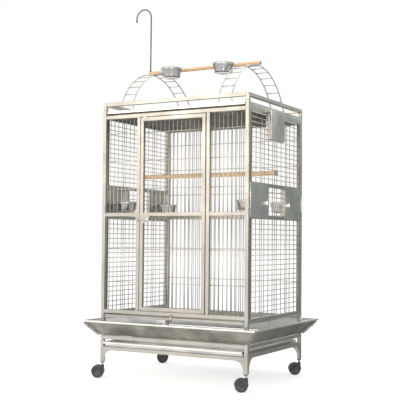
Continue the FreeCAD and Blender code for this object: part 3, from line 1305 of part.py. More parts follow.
# The perch inside the cage
def build_inner_perch():
    high_bottom = "(feeder_head_height + tube_width)"
    level = (f"({high_bottom} + (top_rail_height - {high_bottom}) / (side_upper_bar_count + 1)"
             f" * {PERCH_BAR_GAPS})")
    y = "inner_perch_offset"
    half = f"({POST_X} - grille_wire / 2 - cross_wire)"
    stick = dowel("inner_dowel", (f"-{half}", y, level), X, "inner_perch_radius", f"2 * {half}")
    bores = [hole(f"perch_bolt_bore_{side + 1}",
                  (f"{side} * ({half} + cut_overrun)", y, level), X * -side, "perch_bolt_radius",
                  "perch_bolt_grip + cut_overrun") for side in (-1, 1)]
    node("inner_perch", cut("inner_perch", stick, *bores))
    bolts = []
    face = f"({POST_X} + grille_wire / 2)"
    for side in (-1, 1):
        name = f"inner_bolt_{side + 1}"
        shank = rod(f"{name}_shank", (f"{side} * ({half} - perch_bolt_grip)", y, level), X * side,
                    "perch_bolt_radius", f"{face} - {half} + perch_bolt_grip")
        washer = rod(f"{name}_washer", (f"{side} * {face}", y, level), X * side, "perch_washer_radius",
                     "perch_washer_thickness")
        nut = rod(f"{name}_nut", (f"{side} * ({face} + perch_washer_thickness)", y, level), X * side,
                  "wing_nut_radius", "wing_nut_height")
        wings = block(f"{name}_wings", f"{side} * ({face} + perch_washer_thickness + wing_nut_height / 2)",
                      y, f"{level} - wing_thickness / 2",
                      ("wing_nut_height", "wing_span", "wing_thickness"))
        bolts.append(fused(name, shank, washer, nut, wings))
    node("inner_perch_bolts", *bolts)


def main():
    build_stand()
    build_casters()
    build_cage_frame()
    build_front_and_rear_grilles()
    build_side_and_roof_grilles()
    build_skirt()
    build_front_door()
    build_door_latch()
    build_feeders()
    build_nest_door()
    build_nest_bolt()
    build_trays()
    build_grate()
    build_runners()
    build_play_top_frame()
    build_ladders()
    build_top_perch()
    build_toy_hook()
    build_inner_perch()
    doc.recompute()

    for item in doc.Objects:
        if "Invalid" in item.State or "Error" in item.State:
            raise RuntimeError(f"{item.Name} is {item.State}")
    os.makedirs("parts", exist_ok=True)
    for item in nodes:
        if item.Shape.isNull() or not item.Shape.isValid():
            raise RuntimeError(f"{item.Label} has no valid shape")
        item.Shape.exportStep(f"parts/{item.Label}.step")
    print(len(nodes), "nodes")


main()
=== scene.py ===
# %% [markdown]
# # A play top bird cage in stainless steel
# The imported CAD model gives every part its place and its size. This script dresses it
# for the camera: round bars where the CAD has six flats, eased edges on the tubes,
# spun bowls, turned perches, and finishes with real grain. It reads nothing but the
# frame, and everything is in metres.

# %% Load the frame
import json
import math
import random

import bmesh
import bpy
import numpy as np
from mathutils import Matrix, Vector


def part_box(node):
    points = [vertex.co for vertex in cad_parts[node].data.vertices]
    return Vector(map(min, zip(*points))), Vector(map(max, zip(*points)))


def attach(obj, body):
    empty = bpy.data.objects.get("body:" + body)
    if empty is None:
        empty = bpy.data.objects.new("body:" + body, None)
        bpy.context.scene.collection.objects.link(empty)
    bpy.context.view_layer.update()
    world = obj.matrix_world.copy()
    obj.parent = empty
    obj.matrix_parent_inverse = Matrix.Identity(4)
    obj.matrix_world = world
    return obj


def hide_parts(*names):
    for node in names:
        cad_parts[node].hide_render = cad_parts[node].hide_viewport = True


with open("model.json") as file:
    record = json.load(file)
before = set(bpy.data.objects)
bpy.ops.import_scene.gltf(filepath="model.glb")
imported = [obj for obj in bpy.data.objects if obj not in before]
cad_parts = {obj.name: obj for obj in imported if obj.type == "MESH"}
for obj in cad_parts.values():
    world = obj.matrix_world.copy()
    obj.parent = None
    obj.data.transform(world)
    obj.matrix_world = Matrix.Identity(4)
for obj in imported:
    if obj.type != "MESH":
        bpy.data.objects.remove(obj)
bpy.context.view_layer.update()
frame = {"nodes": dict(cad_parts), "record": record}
scene = bpy.context.scene
BODY = {node: body for body, nodes in frame["record"]["behaviour"]["bodies"].items() for node in nodes}
X, Y, Z = Vector((1, 0, 0)), Vector((0, 1, 0)), Vector((0, 0, 1))
MM = 0.001


def mm(*values):
    return [value * MM for value in values]


def mm_points(*points):
    return [(a * MM, b * MM) for a, b in points]


def box(node):
    """A node's low corner, its high corner and its centre."""
    low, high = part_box(node)
    return low, high, (low + high) / 2


def nodes_like(start, end=""):
    return [node for node in BODY if node.startswith(start) and node.endswith(end)]


def placed(name, data):
    """A new object in the scene."""
    item = bpy.data.objects.new(name, data)
    scene.collection.objects.link(item)
    return item


# %% [markdown]
# ## Camera
# The photograph was taken from the right, a little below the cage's middle, with a long
# lens. The camera's place and turn were fitted to about twenty points of the frame.

# %% Camera
CAMERA_PLACE = Vector((2.4296, -4.3945, 0.7751))
YAW, PITCH, ROLL = (math.radians(angle) for angle in (-29.191, 2.567, 0.504))
FOCAL_SHARE, SENSOR = 876.8 / 400, 36

ahead = Vector((math.sin(YAW) * math.cos(PITCH), math.cos(YAW) * math.cos(PITCH), math.sin(PITCH)))
level = Vector((math.cos(YAW), -math.sin(YAW), 0))
above = level.cross(ahead)
right = level * math.cos(ROLL) + above * math.sin(ROLL)
up = above * math.cos(ROLL) - level * math.sin(ROLL)
lens = bpy.data.cameras.new("camera")
lens.sensor_width = SENSOR
lens.lens = FOCAL_SHARE * SENSOR
scene.camera = placed("camera", lens)
turn = Matrix((right, up, -ahead)).transposed().to_4x4()
scene.camera.matrix_world = Matrix.Translation(CAMERA_PLACE) @ turn
print("lens", round(lens.lens, 1), "mm")

# %% [markdown]
# ## Small helpers for node trees
# Shader trees and geometry trees are built the same way: add a node, set its words, and
# join or fill its sockets. One helper does both, so each tree below reads as a recipe.


# %% Node helpers
def feed(node, sockets):
    """Gives each socket a link if there is one to give, or else a value."""
    for key, value in sockets.items():
        if isinstance(value, bpy.types.NodeSocket):
            node.id_data.links.new(value, node.inputs[key])
        else:
            node.inputs[key].default_value = value


def add(tree, kind, sockets=None, **settings):
    node = tree.nodes.new(kind)
    for word, value in settings.items():
        setattr(node, word, value)
    feed(node, sockets or {})
    return node


def arithmetic(tree, way, first, second):
    return add(tree, "ShaderNodeMath", {0: first, 1: second}, operation=way).outputs["Value"]


def object_place(tree):
    return add(tree, "ShaderNodeTexCoord").outputs["Object"]


def mapped(tree, vector, scale, shift=(0, 0, 0)):
    return add(tree, "ShaderNodeMapping",
               {"Vector": vector, "Location": shift, "Scale": scale}).outputs["Vector"]


def noise(tree, vector, scale, detail):
    return add(tree, "ShaderNodeTexNoise",
               {"Vector": vector, "Scale": scale, "Detail": detail, "Roughness": 0.55}).outputs["Fac"]


def spread(tree, value, low, high, new_low, new_high):
    """A value moved from one range to another, and kept inside it."""
    return add(tree, "ShaderNodeMapRange", {"Value": value, "From Min": low, "From Max": high,
                                            "To Min": new_low, "To Max": new_high}).outputs["Result"]


def blend(tree, share, *colours):
    first, second = (c if isinstance(c, bpy.types.NodeSocket) else (*c, 1) for c in colours)
    return add(tree, "ShaderNodeMix", {0: share, 6: first, 7: second}, data_type="RGBA").outputs[2]


def bump(tree, height, strength, distance):
    return add(tree, "ShaderNodeBump",
               {"Height": height, "Strength": strength, "Distance": distance}).outputs["Normal"]


def new_material(name, constants):
    """A material with its tree and its shader, whose own sockets hold the constant values."""
    material = bpy.data.materials.new(name)
    material.use_nodes = True
    shader = material.node_tree.nodes["Principled BSDF"]
    feed(shader, constants)
    return material, material.node_tree, shader


# %% [markdown]
# ## Brushed steel
# Tube and sheet are brushed along their length, so the grain has to follow each piece and
# not the room. Every piece below carries a point attribute called `grain`: how far along
# the piece a point lies, then two distances across it. The noise is stretched along the
# first one. A slow cloud on top stands for handling marks and uneven polish.

# %% Steel finishes
GRAIN_STRETCH, CLOUD_SCALE = (9, 900, 900), 7


def brushed(name, dull, bright, smooth, rough, depth, metal=1.0):
    material, tree, shader = new_material(name, {"Metallic": metal})
    grain = add(tree, "ShaderNodeAttribute", attribute_name="grain").outputs["Vector"]
    streak = noise(tree, mapped(tree, grain, GRAIN_STRETCH), 1, 4)
    mixed = arithmetic(tree, "ADD", streak, noise(tree, object_place(tree), CLOUD_SCALE, 5))
    feed(shader, {"Base Color": blend(tree, spread(tree, mixed, 0.75, 1.3, 0, 1), dull, bright),
                  "Roughness": spread(tree, mixed, 0.7, 1.3, rough, smooth),
                  "Normal": bump(tree, streak, 0.25, depth * MM)})
    return material


TUBE_STEEL = brushed("brushed_tube_steel", (0.40, 0.385, 0.35), (0.56, 0.54, 0.49), 0.28, 0.44, 0.12)
# Painted shade: a darker copy of the tube steel, for the side panel stiles and the roof bars.
PAINTED_SHADE_STEEL = brushed("painted_shade_stile_steel", (0.22, 0.21, 0.18), (0.36, 0.34, 0.30), 0.32, 0.46, 0.12)
SHEET_STEEL = brushed("brushed_sheet_steel", (0.38, 0.385, 0.37), (0.78, 0.78, 0.75), 0.30, 0.50, 0.12)
# Painted shade: the skirt's outside, its flanges and its bolts are darker than steel is, standing in for the
# shade below the cage that they reflect.
SKIRT_OUTSIDE_SHADED = brushed("mill_sheet_painted_shade", (0.15, 0.148, 0.125), (0.48, 0.47, 0.41), 0.34, 0.52, 0.12)
# Painted light: the skirt's inside is brighter than steel is, standing in for the light it reflects from
# above.
SKIRT_INSIDE_LIT = brushed("polished_skirt_painted_light", (0.58, 0.59, 0.60), (0.92, 0.93, 0.94), 0.18, 0.42, 0.12)
# Painted highlight: polished steel made brighter than steel is, for rims, lips, grips and the latch bolt.
HIGHLIGHT_STEEL = brushed("polished_steel_painted_highlight", (0.76, 0.74, 0.69), (0.93, 0.91, 0.86), 0.20, 0.34, 0.06)
HOOK_STEEL = brushed("hook_steel", (0.07, 0.068, 0.055), (0.18, 0.17, 0.14), 0.24, 0.40, 0.06)
COVER_STEEL = brushed("matt_cover_steel", (0.30, 0.30, 0.28), (0.74, 0.73, 0.69), 0.40, 0.58, 0.15)
# Painted shade: the play top's tray is darker than the other sheet, because its underside is seen in shade.
PAINTED_SHADE_TRAY_STEEL = brushed("painted_shade_tray_steel", (0.12, 0.12, 0.11), (0.25, 0.25, 0.23), 0.40, 0.60, 0.12)
WIRE_STEEL = brushed("drawn_wire_steel", (0.50, 0.48, 0.43), (0.76, 0.73, 0.66), 0.42, 0.60, 0.06, 0.8)
WELD_STEEL = brushed("weld_steel", (0.24, 0.23, 0.21), (0.42, 0.40, 0.37), 0.35, 0.55, 0.3)
BRIGHT_STEEL = brushed("polished_bowl_steel", (0.30, 0.30, 0.29), (0.58, 0.58, 0.565), 0.06, 0.16, 0.03)
DARK_STEEL = brushed("dark_zinc_hardware", (0.10, 0.10, 0.10), (0.20, 0.20, 0.19), 0.30, 0.50, 0.1)
print("steel finishes", len(bpy.data.materials))

# %% [markdown]
# ## Wood
# The perches are turned from a light hardwood. Growth rings are long tubes round the
# stick's own axis, bent by noise, so a stretched wave across Y and Z with a slow drift
# along X gives straight grain that closes in ovals. Pores are short dark dashes.

# %% Wood finish
RING_STRETCH, PORE_STRETCH = (1.6, 42, 42), (45, 1400, 1400)


def perch_wood(name, node):
    material, tree, shader = new_material(name, {"Roughness": 0.62})
    centred = mapped(tree, object_place(tree), (1, 1, 1), -box(node)[2])
    along = mapped(tree, centred, RING_STRETCH)
    rings = add(tree, "ShaderNodeTexWave",
                {"Vector": along, "Scale": 2.2, "Distortion": 7, "Detail": 3, "Detail Scale": 1.2},
                wave_type="RINGS", rings_direction="X").outputs["Fac"]
    pores = noise(tree, mapped(tree, centred, PORE_STRETCH), 1, 2)
    base = blend(tree, rings, (1.0, 0.60, 0.30), (1.0, 0.80, 0.51))
    drift = spread(tree, noise(tree, along, 1, 3), 0.35, 0.7, 0, 0.6)
    warm = blend(tree, drift, base, (1.0, 0.64, 0.37))
    dark = blend(tree, spread(tree, pores, 0.56, 0.72, 0, 0.55), warm, (0.66, 0.37, 0.18))
    feed(shader, {"Base Color": dark, "Normal": bump(tree, pores, 0.35, 0.3 * MM)})
    return material


TOP_WOOD = perch_wood("top_perch_wood", "top_perch")
INNER_WOOD = perch_wood("inner_perch_wood", "inner_perch")

# %% [markdown]
# ## Plastic and tread
# Moulded plastic has a fine spark-eroded texture and patches of dust laid by noise. The
# tread is a softer grey that has picked up dirt.


# %% Caster finishes
def moulded(name, colour, dusty, rough, pebble):
    material, tree, shader = new_material(name, {"Roughness": rough})
    dust = noise(tree, object_place(tree), 38, 5)
    feed(shader, {"Base Color": blend(tree, spread(tree, dust, 0.45, 0.75, 0, 0.7), colour, dusty),
                  "Roughness": spread(tree, dust, 0.3, 0.7, rough - 0.1, rough + 0.15),
                  "Normal": bump(tree, noise(tree, object_place(tree), pebble, 2), 0.3, 0.2 * MM)})
    return material


HOOD_PLASTIC = moulded("hood_plastic", (0.055, 0.056, 0.058), (0.13, 0.128, 0.12), 0.42, 900)
TREAD_RUBBER = moulded("tread_rubber", (0.03, 0.031, 0.033), (0.19, 0.187, 0.18), 0.44, 600)

# %% [markdown]
# ## Reading the CAD solids
# A node's mesh is loose triangles. Two triangles belong to one solid if they share an edge
# that no other triangle has, which keeps welded tubes apart even where they touch. A
# washer round a bore shares the bore's rim, so what is still open there is joined last.


# %% Solids of a node
def solids_of(node):
    """Each solid of a CAD node, as its corner points and its triangles."""
    mesh = frame["nodes"][node].data
    points = np.array([vertex.co for vertex in mesh.vertices])
    mesh.calc_loop_triangles()
    corners = np.array([triangle.vertices for triangle in mesh.loop_triangles])
    _, first, same = np.unique(np.round(points * 1e5).astype(int), axis=0, return_index=True,
                               return_inverse=True)
    points = points[first]
    triangles = [tuple(t) for t in same.reshape(-1)[corners] if len(set(t)) == 3]
    edges = {}
    for index, (a, b, c) in enumerate(triangles):
        for edge in ((a, b), (b, c), (c, a)):
            edges.setdefault(edge, []).append(index)
    owner = list(range(len(triangles)))

    def root(index):
        while owner[index] != index:
            owner[index] = owner[owner[index]]
            index = owner[index]
        return index

    for (a, b), users in edges.items():
        others = edges.get((b, a), [])
        if len(users) == 1 and len(others) == 1:
            owner[root(users[0])] = root(others[0])
    loose = {}
    for (a, b), users in edges.items():
        joined_to = {root(other) for other in edges.get((b, a), [])}
        loose[a, b] = [index for index in users if root(index) not in joined_to]
    for (a, b), users in loose.items():
        for index, other in zip(users, loose.get((b, a), [])):
            owner[root(index)] = root(other)
    groups = {}
    for index, triangle in enumerate(triangles):
        groups.setdefault(root(index), []).append(triangle)
    solids = []
    for group in groups.values():
        used = sorted({corner for triangle in group for corner in triangle})
        place = {corner: index for index, corner in enumerate(used)}
        solids.append((points[used], [tuple(place[c] for c in t) for t in group]))
    return solids


def extent(points):
    """The low corner, the high corner and the centre of a solid's points."""
    low, high = Vector(points.min(0)), Vector(points.max(0))
    return low, high, (low + high) / 2


def as_bar(points):
    """(middle, axis, length, radius) if the solid is a straight bar with 6, 8 or 12 flats."""
    sides = len(points) / 2
    if sides not in (6, 8, 12):
        return None
    low, high = points.min(0), points.max(0)
    middle, size = (low + high) / 2, high - low
    axis = int(size.argmax())
    away = np.hypot(*np.delete(points - middle, axis, axis=1).T)
    if np.ptp(away) > 0.04 * away.max() or size[axis] < 4 * away.max():
        return None
    radius = away.max() * (math.cos(math.pi / 6) if sides == 6 else 1)
    return middle, np.eye(3)[axis], size[axis], radius


# %% [markdown]
# ## Pieces of a geometry tree
# Three trees make what repeats: bars, fasteners and bent rods. They start from points or
# a line with a few numbers on it, and they end alike: the export drops instances, so each
# tree makes them real and sets the steel. Bars and rods get their grain there as well.


# %% Geometry tree helpers
def new_tree(name, sizes):
    """A geometry tree with named inputs."""
    tree = bpy.data.node_groups.new(name, "GeometryNodeTree")
    for word, (kind, value) in {"Geometry": ("Geometry", None), **sizes}.items():
        item = tree.interface.new_socket(word, in_out="INPUT", socket_type=f"NodeSocket{kind}")
        if value is not None:
            item.default_value = value
    tree.interface.new_socket("Geometry", in_out="OUTPUT", socket_type="NodeSocketGeometry")
    return tree, add(tree, "NodeGroupInput").outputs


def named(tree, name, kind="FLOAT"):
    return add(tree, "GeometryNodeInputNamedAttribute", {"Name": name}, data_type=kind).outputs["Attribute"]


def stored(tree, geometry, name, value, kind="FLOAT"):
    return add(tree, "GeometryNodeStoreNamedAttribute", {"Geometry": geometry, "Name": name, "Value": value},
               data_type=kind).outputs["Geometry"]


def vector_math(tree, way, *values):
    node = add(tree, "ShaderNodeVectorMath", dict(enumerate(values)), operation=way)
    return node.outputs["Value" if way in ("DOT_PRODUCT", "LENGTH") else "Vector"]


def scaled(tree, vector, share):
    return add(tree, "ShaderNodeVectorMath", {0: vector, "Scale": share}, operation="SCALE").outputs["Vector"]


def combined(tree, x, y, z):
    return add(tree, "ShaderNodeCombineXYZ", {"X": x, "Y": y, "Z": z}).outputs["Vector"]


def facing(tree, vector):
    return add(tree, "FunctionNodeAlignRotationToVector", {"Vector": vector}, axis="Z").outputs["Rotation"]


def on_points(tree, points, shape, rotation, scale=(1, 1, 1)):
    return add(tree, "GeometryNodeInstanceOnPoints", {
        "Points": points, "Instance": shape, "Rotation": rotation, "Scale": scale}).outputs["Instances"]


def end_tree(tree, geometry, steels, grain=None):
    """Ends a tree: instances made real, the grain if there is one, and each steel on its faces."""
    geometry = add(tree, "GeometryNodeRealizeInstances", {"Geometry": geometry}).outputs["Geometry"]
    if grain:
        geometry = stored(tree, geometry, "grain", grain, "FLOAT_VECTOR")
        geometry = add(tree, "GeometryNodeSetShadeSmooth", {"Geometry": geometry}).outputs["Geometry"]
    for steel, chosen in steels:
        geometry = add(tree, "GeometryNodeSetMaterial", {
            "Geometry": geometry, "Material": steel, "Selection": chosen}).outputs["Geometry"]
    add(tree, "NodeGroupOutput", {"Geometry": geometry})
    return tree


def put(mesh, word, values):
    """A number or a vector kept at each point of a mesh."""
    values = np.array(values, dtype=float)
    kind, key = ("FLOAT_VECTOR", "vector") if values.ndim == 2 else ("FLOAT", "value")
    attribute = mesh.attributes.get(word) or mesh.attributes.new(word, kind, "POINT")
    attribute.data.foreach_set(key, values.ravel())


def grow(name, starter_data, tree, sizes):
    """The plain mesh that a geometry tree makes from a starting mesh."""
    starter = placed(f"{name}.start", starter_data)
    modifier = starter.modifiers.new("grow", "NODES")
    modifier.node_group = tree
    for item in tree.interface.items_tree:
        if item.in_out == "INPUT" and item.name in sizes:
            modifier[item.identifier] = sizes[item.name]
    graph = bpy.context.evaluated_depsgraph_get()
    mesh = bpy.data.meshes.new_from_object(starter.evaluated_get(graph))
    bpy.data.objects.remove(starter)
    mesh.name = name
    for spare in ("axis", "reach", "thickness", "lot", "weld", "far"):
        if spare in mesh.attributes:
            mesh.attributes.remove(mesh.attributes[spare])
    return mesh


# %% [markdown]
# ## Bars by Geometry Nodes
# A cage has hundreds of bars, so one tree makes them all. Its points come with their
# direction, length and thickness, and it places a round bar on each, with a small weld
# fillet at both ends. Six-sided stand-ins would look faceted close up; twelve sides with
# smooth shading read as round and stay light.


# %% Bar tree
def bar_tree():
    tree, given = new_tree("bars_on_points", {
        "Sides": ("Int", 12), "Weld height": ("Float", 1.5 * MM), "Weld spread": ("Float", 1.7),
        "Bar steel": ("Material", None), "Weld steel": ("Material", None)})
    axis = named(tree, "axis", "FLOAT_VECTOR")
    reach, thickness = named(tree, "reach"), named(tree, "thickness")
    rod = add(tree, "GeometryNodeMeshCylinder", {"Vertices": given["Sides"], "Radius": 1.0, "Depth": 1.0})
    cone = add(tree, "GeometryNodeMeshCone", {"Vertices": 8, "Radius Top": 1.0,
                                              "Radius Bottom": given["Weld spread"],
                                              "Depth": given["Weld height"]})
    weld = stored(tree, cone.outputs["Mesh"], "weld", 1.0)
    parts = [on_points(tree, given["Geometry"], stored(tree, rod.outputs["Mesh"], "weld", 0.0),
                       facing(tree, axis), combined(tree, thickness, thickness, reach))]
    for way in (-0.5, 0.5):
        shift = scaled(tree, axis, arithmetic(tree, "MULTIPLY", reach, way))
        ends = add(tree, "GeometryNodeSetPosition", {"Geometry": given["Geometry"], "Offset": shift})
        inward = facing(tree, scaled(tree, axis, -2 * way))
        parts.append(on_points(tree, ends.outputs["Geometry"], weld, inward,
                               combined(tree, thickness, thickness, 1.0)))
    together = add(tree, "GeometryNodeJoinGeometry")
    for part in reversed(parts):
        feed(together, {"Geometry": part})
    place = add(tree, "GeometryNodeInputPosition").outputs["Position"]
    around = vector_math(tree, "LENGTH", vector_math(tree, "CROSS_PRODUCT", place, axis))
    grain = combined(tree, vector_math(tree, "DOT_PRODUCT", place, axis), around, named(tree, "lot"))
    welds = arithmetic(tree, "GREATER_THAN", named(tree, "weld"), 0.5)
    return end_tree(tree, together.outputs["Geometry"],
                    [(given["Bar steel"], True), (given["Weld steel"], welds)], grain)


BAR_TREE = bar_tree()


def bars_mesh(name, bars, steel):
    points = bpy.data.meshes.new(f"{name}.points")
    middles, axes, reaches, thicknesses = zip(*bars)
    points.from_pydata(middles, [], [])
    lots = random.Random(len(bars))
    for word, values in (("axis", axes), ("reach", reaches), ("thickness", thicknesses),
                         ("lot", [lots.random() for _ in bars])):
        put(points, word, values)
    return grow(name, points, BAR_TREE, {"Bar steel": steel, "Weld steel": WELD_STEEL})


print("bar tree nodes", len(BAR_TREE.nodes))

# %% [markdown]
# ## Eased edges
# Square tube never has a sharp corner: it's rolled from strip, and a file takes the burr
# off its ends. Each CAD solid is rebuilt here with its flat triangles merged, its edges
# bevelled and its grain laid along its longest side. Large faces stay flat shaded and the
# narrow bevels are smooth, so highlights run along every corner.

# %% Eased solids
BEVEL_ANGLE = math.radians(28)


def write_grain(mesh, axis, lot):
    grain = np.array([vertex.co for vertex in mesh.vertices])
    if axis is None:
        axis = int(np.ptp(grain, axis=0).argmax())
    grain = grain[:, [axis] + [i for i in range(3) if i != axis]]
    grain[:, 1:] += lot
    put(mesh, "grain", grain)


def round_edges(build, edges, width, steps):
    bevel = bmesh.ops.bevel(build, geom=edges, offset=width, offset_type="OFFSET", segments=steps,
                            profile=0.5, affect="EDGES", clamp_overlap=True)
    for face in bevel["faces"]:
        face.smooth = True


def crease(build, degrees):
    for edge in build.edges:
        edge.smooth = edge.calc_face_angle(0) < math.radians(degrees)


def triangulate(build):
    bmesh.ops.triangulate(build, faces=[face for face in build.faces if len(face.verts) > 4])


def mesh_of(build, name, axis, lot, finish):
    """What was built, as a mesh with its grain along an axis, or along its longest side."""
    triangulate(build)
    mesh = bpy.data.meshes.new(name)
    build.to_mesh(mesh)
    build.free()
    write_grain(mesh, axis, lot)
    if finish:
        mesh.materials.append(finish)
    return mesh


def eased(name, points, triangles, width, steps, lot, finish):
    """A solid with its edges bevelled."""
    build = bmesh.new()
    corners = [build.verts.new(point) for point in points]
    for triangle in triangles:
        build.faces.new([corners[c] for c in triangle])
    bmesh.ops.dissolve_limit(build, angle_limit=math.radians(1), verts=build.verts, edges=build.edges)
    sharp = [edge for edge in build.edges
             if len(edge.link_faces) == 2 and edge.calc_face_angle(0) > BEVEL_ANGLE]
    if width:
        round_edges(build, sharp, width, steps)
    return mesh_of(build, name, int(np.ptp(points, axis=0).argmax()), lot, finish)


def assemble(name, node, meshes):
    """One piece from meshes: it rides on its node's body and stands for the node."""
    parts = [placed(name, mesh) for mesh in meshes]
    piece = parts[0]
    with bpy.context.temp_override(active_object=piece, object=piece, selected_objects=parts,
                                   selected_editable_objects=parts):
        bpy.ops.object.join()
    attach(piece, BODY[node])
    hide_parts(node)
    print(name, "faces", len(piece.data.polygons))


def dress(node, width=0, steps=2, finish=TUBE_STEEL, bars_finish=WIRE_STEEL, front_highlight_finish=None):
    """A node's solids with eased edges, and its straight bars made round by the bar tree."""
    solids, bars = [], []
    for index, (points, triangles) in enumerate(solids_of(node)):
        bar = as_bar(points)
        if bar:
            bars.append(bar)
            continue
        mesh = eased(f"{node}.{index}", points, triangles, width, steps, 0.137 * index, finish)
        if front_highlight_finish:
            mesh.materials.append(front_highlight_finish)
            # Faces that look to the front take the second finish, a painted highlight.
            for face in mesh.polygons:
                face.material_index = int(face.normal.y < -0.7)
        solids.append(mesh)
    if solids:
        assemble(f"{node}.metal", node, solids)
    if bars:
        assemble(f"{node}.bars", node, [bars_mesh(f"{node}.bars", bars, bars_finish)])


# %% [markdown]
# ## Turned parts
# Bowls, wheels, washers and perches are all round about one line, so a half section turned
# round that line makes each of them. A section that starts on the line is a solid; one
# that stays clear of it is closed into a ring, with a wall of real thickness.


# %% Turning
def smooth_mesh(name, points, faces, grain, degrees, finishes=(), slots=None, place=Matrix()):
    """A smooth mesh with its grain, its faces outwards and its creases kept."""
    mesh = bpy.data.meshes.new(name)
    mesh.from_pydata(points, [], faces)
    put(mesh, "grain", grain)
    for finish in finishes:
        mesh.materials.append(finish)
    if slots:
        mesh.polygons.foreach_set("material_index", slots)
    mesh.transform(place)
    build = bmesh.new()
    build.from_mesh(mesh)
    bmesh.ops.recalc_face_normals(build, faces=build.faces)
    for face in build.faces:
        face.smooth = True
    crease(build, degrees)
    triangulate(build)
    build.to_mesh(mesh)
    build.free()
    return mesh


def turned(name, section, centre, axis, steps, finish=None):
    """A section of (radius, height) points turned about an axis through the centre."""
    points, faces, rings = [], [], []
    for radius, height in section:
        count = steps if radius > 1e-7 else 1
        rings.append([len(points) + step % count for step in range(steps + 1)])
        for step in range(count):
            angle = 2 * math.pi * step / steps
            points.append((radius * math.cos(angle), radius * math.sin(angle), height))
    if section[0][0] > 1e-7:
        rings.append(rings[0])
    for low, high in zip(rings, rings[1:]):
        for step in range(steps):
            corners = (low[step], low[step + 1], high[step + 1], high[step])
            faces.append(tuple(dict.fromkeys(corners)))
    grain = [(math.atan2(y, x) * math.hypot(x, y), math.hypot(x, y), z) for x, y, z in points]
    place = Matrix.Translation(centre) @ Z.rotation_difference(axis).to_matrix().to_4x4()
    return smooth_mesh(name, points, faces, grain, 40, [finish] if finish else [], place=place)


def fillet(corner, before, after, radius, steps):
    """Points that round one corner of a section."""
    corner, before, after = Vector(corner), Vector(before), Vector(after)
    first = corner + (before - corner).normalized() * radius
    last = corner + (after - corner).normalized() * radius
    shares = [step / steps for step in range(steps + 1)]
    return [tuple(first.lerp(corner, share).lerp(corner.lerp(last, share), share)) for share in shares]


def rounded(section, radius, steps, closed=True):
    """A section with each corner rounded."""
    points, count = [], len(section)
    for index, corner in enumerate(section):
        if not closed and index in (0, count - 1):
            points.append(corner)
            continue
        before, after = section[index - 1], section[(index + 1) % count]
        reach = min((Vector(before) - Vector(corner)).length, (Vector(after) - Vector(corner)).length) / 2
        points += fillet(corner, before, after, min(radius, reach * 0.98), steps)
    return points


def rounded_rectangle(low_a, low_b, high_a, high_b, radius, steps):
    return rounded([(low_a, low_b), (high_a, low_b), (high_a, high_b), (low_a, high_b)], radius, steps)


def pin(radius, length, edge):
    """The section of a solid pin with rounded ends."""
    low = fillet((radius, 0), (0, 0), (radius, length), edge, 3)
    high = fillet((radius, length), (radius, 0), (0, length), edge, 3)
    return [(0, 0)] + low + high + [(0, length)]


def tube(inner, outer, length, edge):
    """The closed section of a sleeve, a ring or a washer."""
    return rounded_rectangle(inner, 0, outer, length, edge, 3)


# %% [markdown]
# ## Plates, straps and blocks
# Much of the hardware is cut from plate or bent from strip. An outline drawn in a plane,
# given its thickness, makes any of these. Its two rims are eased, because a sheared edge
# that catches no light looks like paper. Holes are cut by a Boolean, because a drawn hole
# would need the whole face drawn round it.


# %% Plates from outlines
def walls(build, near, far):
    """Smooth faces between two rings of corners."""
    for index in range(len(near)):
        after = (index + 1) % len(near)
        build.faces.new((near[index], near[after], far[after], far[index])).smooth = True


def prism(name, outline, depth, place, u, v, edge, finish=None, axis=None, lot=0.0):
    """An outline in the plane of u and v, given its depth along their cross product."""
    build = bmesh.new()
    low = [build.verts.new(place + u * a + v * b) for a, b in outline]
    high = [build.verts.new(corner.co + u.cross(v) * depth) for corner in low]
    ends = [build.faces.new(low[::-1]), build.faces.new(high)]
    walls(build, low, high)
    bmesh.ops.recalc_face_normals(build, faces=build.faces)
    round_edges(build, [side for end in ends for side in end.edges], edge, 2)
    bmesh.ops.dissolve_degenerate(build, dist=1e-6, edges=build.edges)
    crease(build, 50)
    return mesh_of(build, name, axis, lot, finish)


def block(name, low, high, round_by, finish, lot=0.0):
    """A rectangular block with every edge eased."""
    ends = np.minimum(low, high), np.maximum(low, high)
    points = np.array([[ends[i][0], ends[j][1], ends[k][2]] for i in (0, 1) for j in (0, 1) for k in (0, 1)])
    quads = ((0, 1, 3, 2), (4, 6, 7, 5), (0, 4, 5, 1), (2, 3, 7, 6), (0, 2, 6, 4), (1, 5, 7, 3))
    triangles = [t for a, b, c, d in quads for t in ((a, b, c), (a, c, d))]
    return eased(name, points, triangles, round_by, 3, lot, finish)


def drilled(name, mesh, cutters, finish, axis, lot=0.0):
    """A mesh cut by others, with its grain written again."""
    solid = placed(name, mesh)
    tools = [placed(f"{name}.cutter", cutter) for cutter in cutters]
    for tool in tools:
        modifier = solid.modifiers.new("cut", "BOOLEAN")
        modifier.object = tool
        modifier.operation = "DIFFERENCE"
        modifier.solver = "EXACT"
    graph = bpy.context.evaluated_depsgraph_get()
    result = bpy.data.meshes.new_from_object(solid.evaluated_get(graph))
    for spare in [solid] + tools:
        bpy.data.objects.remove(spare)
    result.materials.clear()
    result.materials.append(finish)
    write_grain(result, axis, lot)
    return result


# %% [markdown]
# ## Pressed sheet
# The litter tray and the nest cover are shallow pans drawn from one sheet, so their edges
# are rolls and their corners are round. A Solidify modifier on a box would give square
# corners, so the rings of both faces of the sheet are drawn, and joined at the rim.


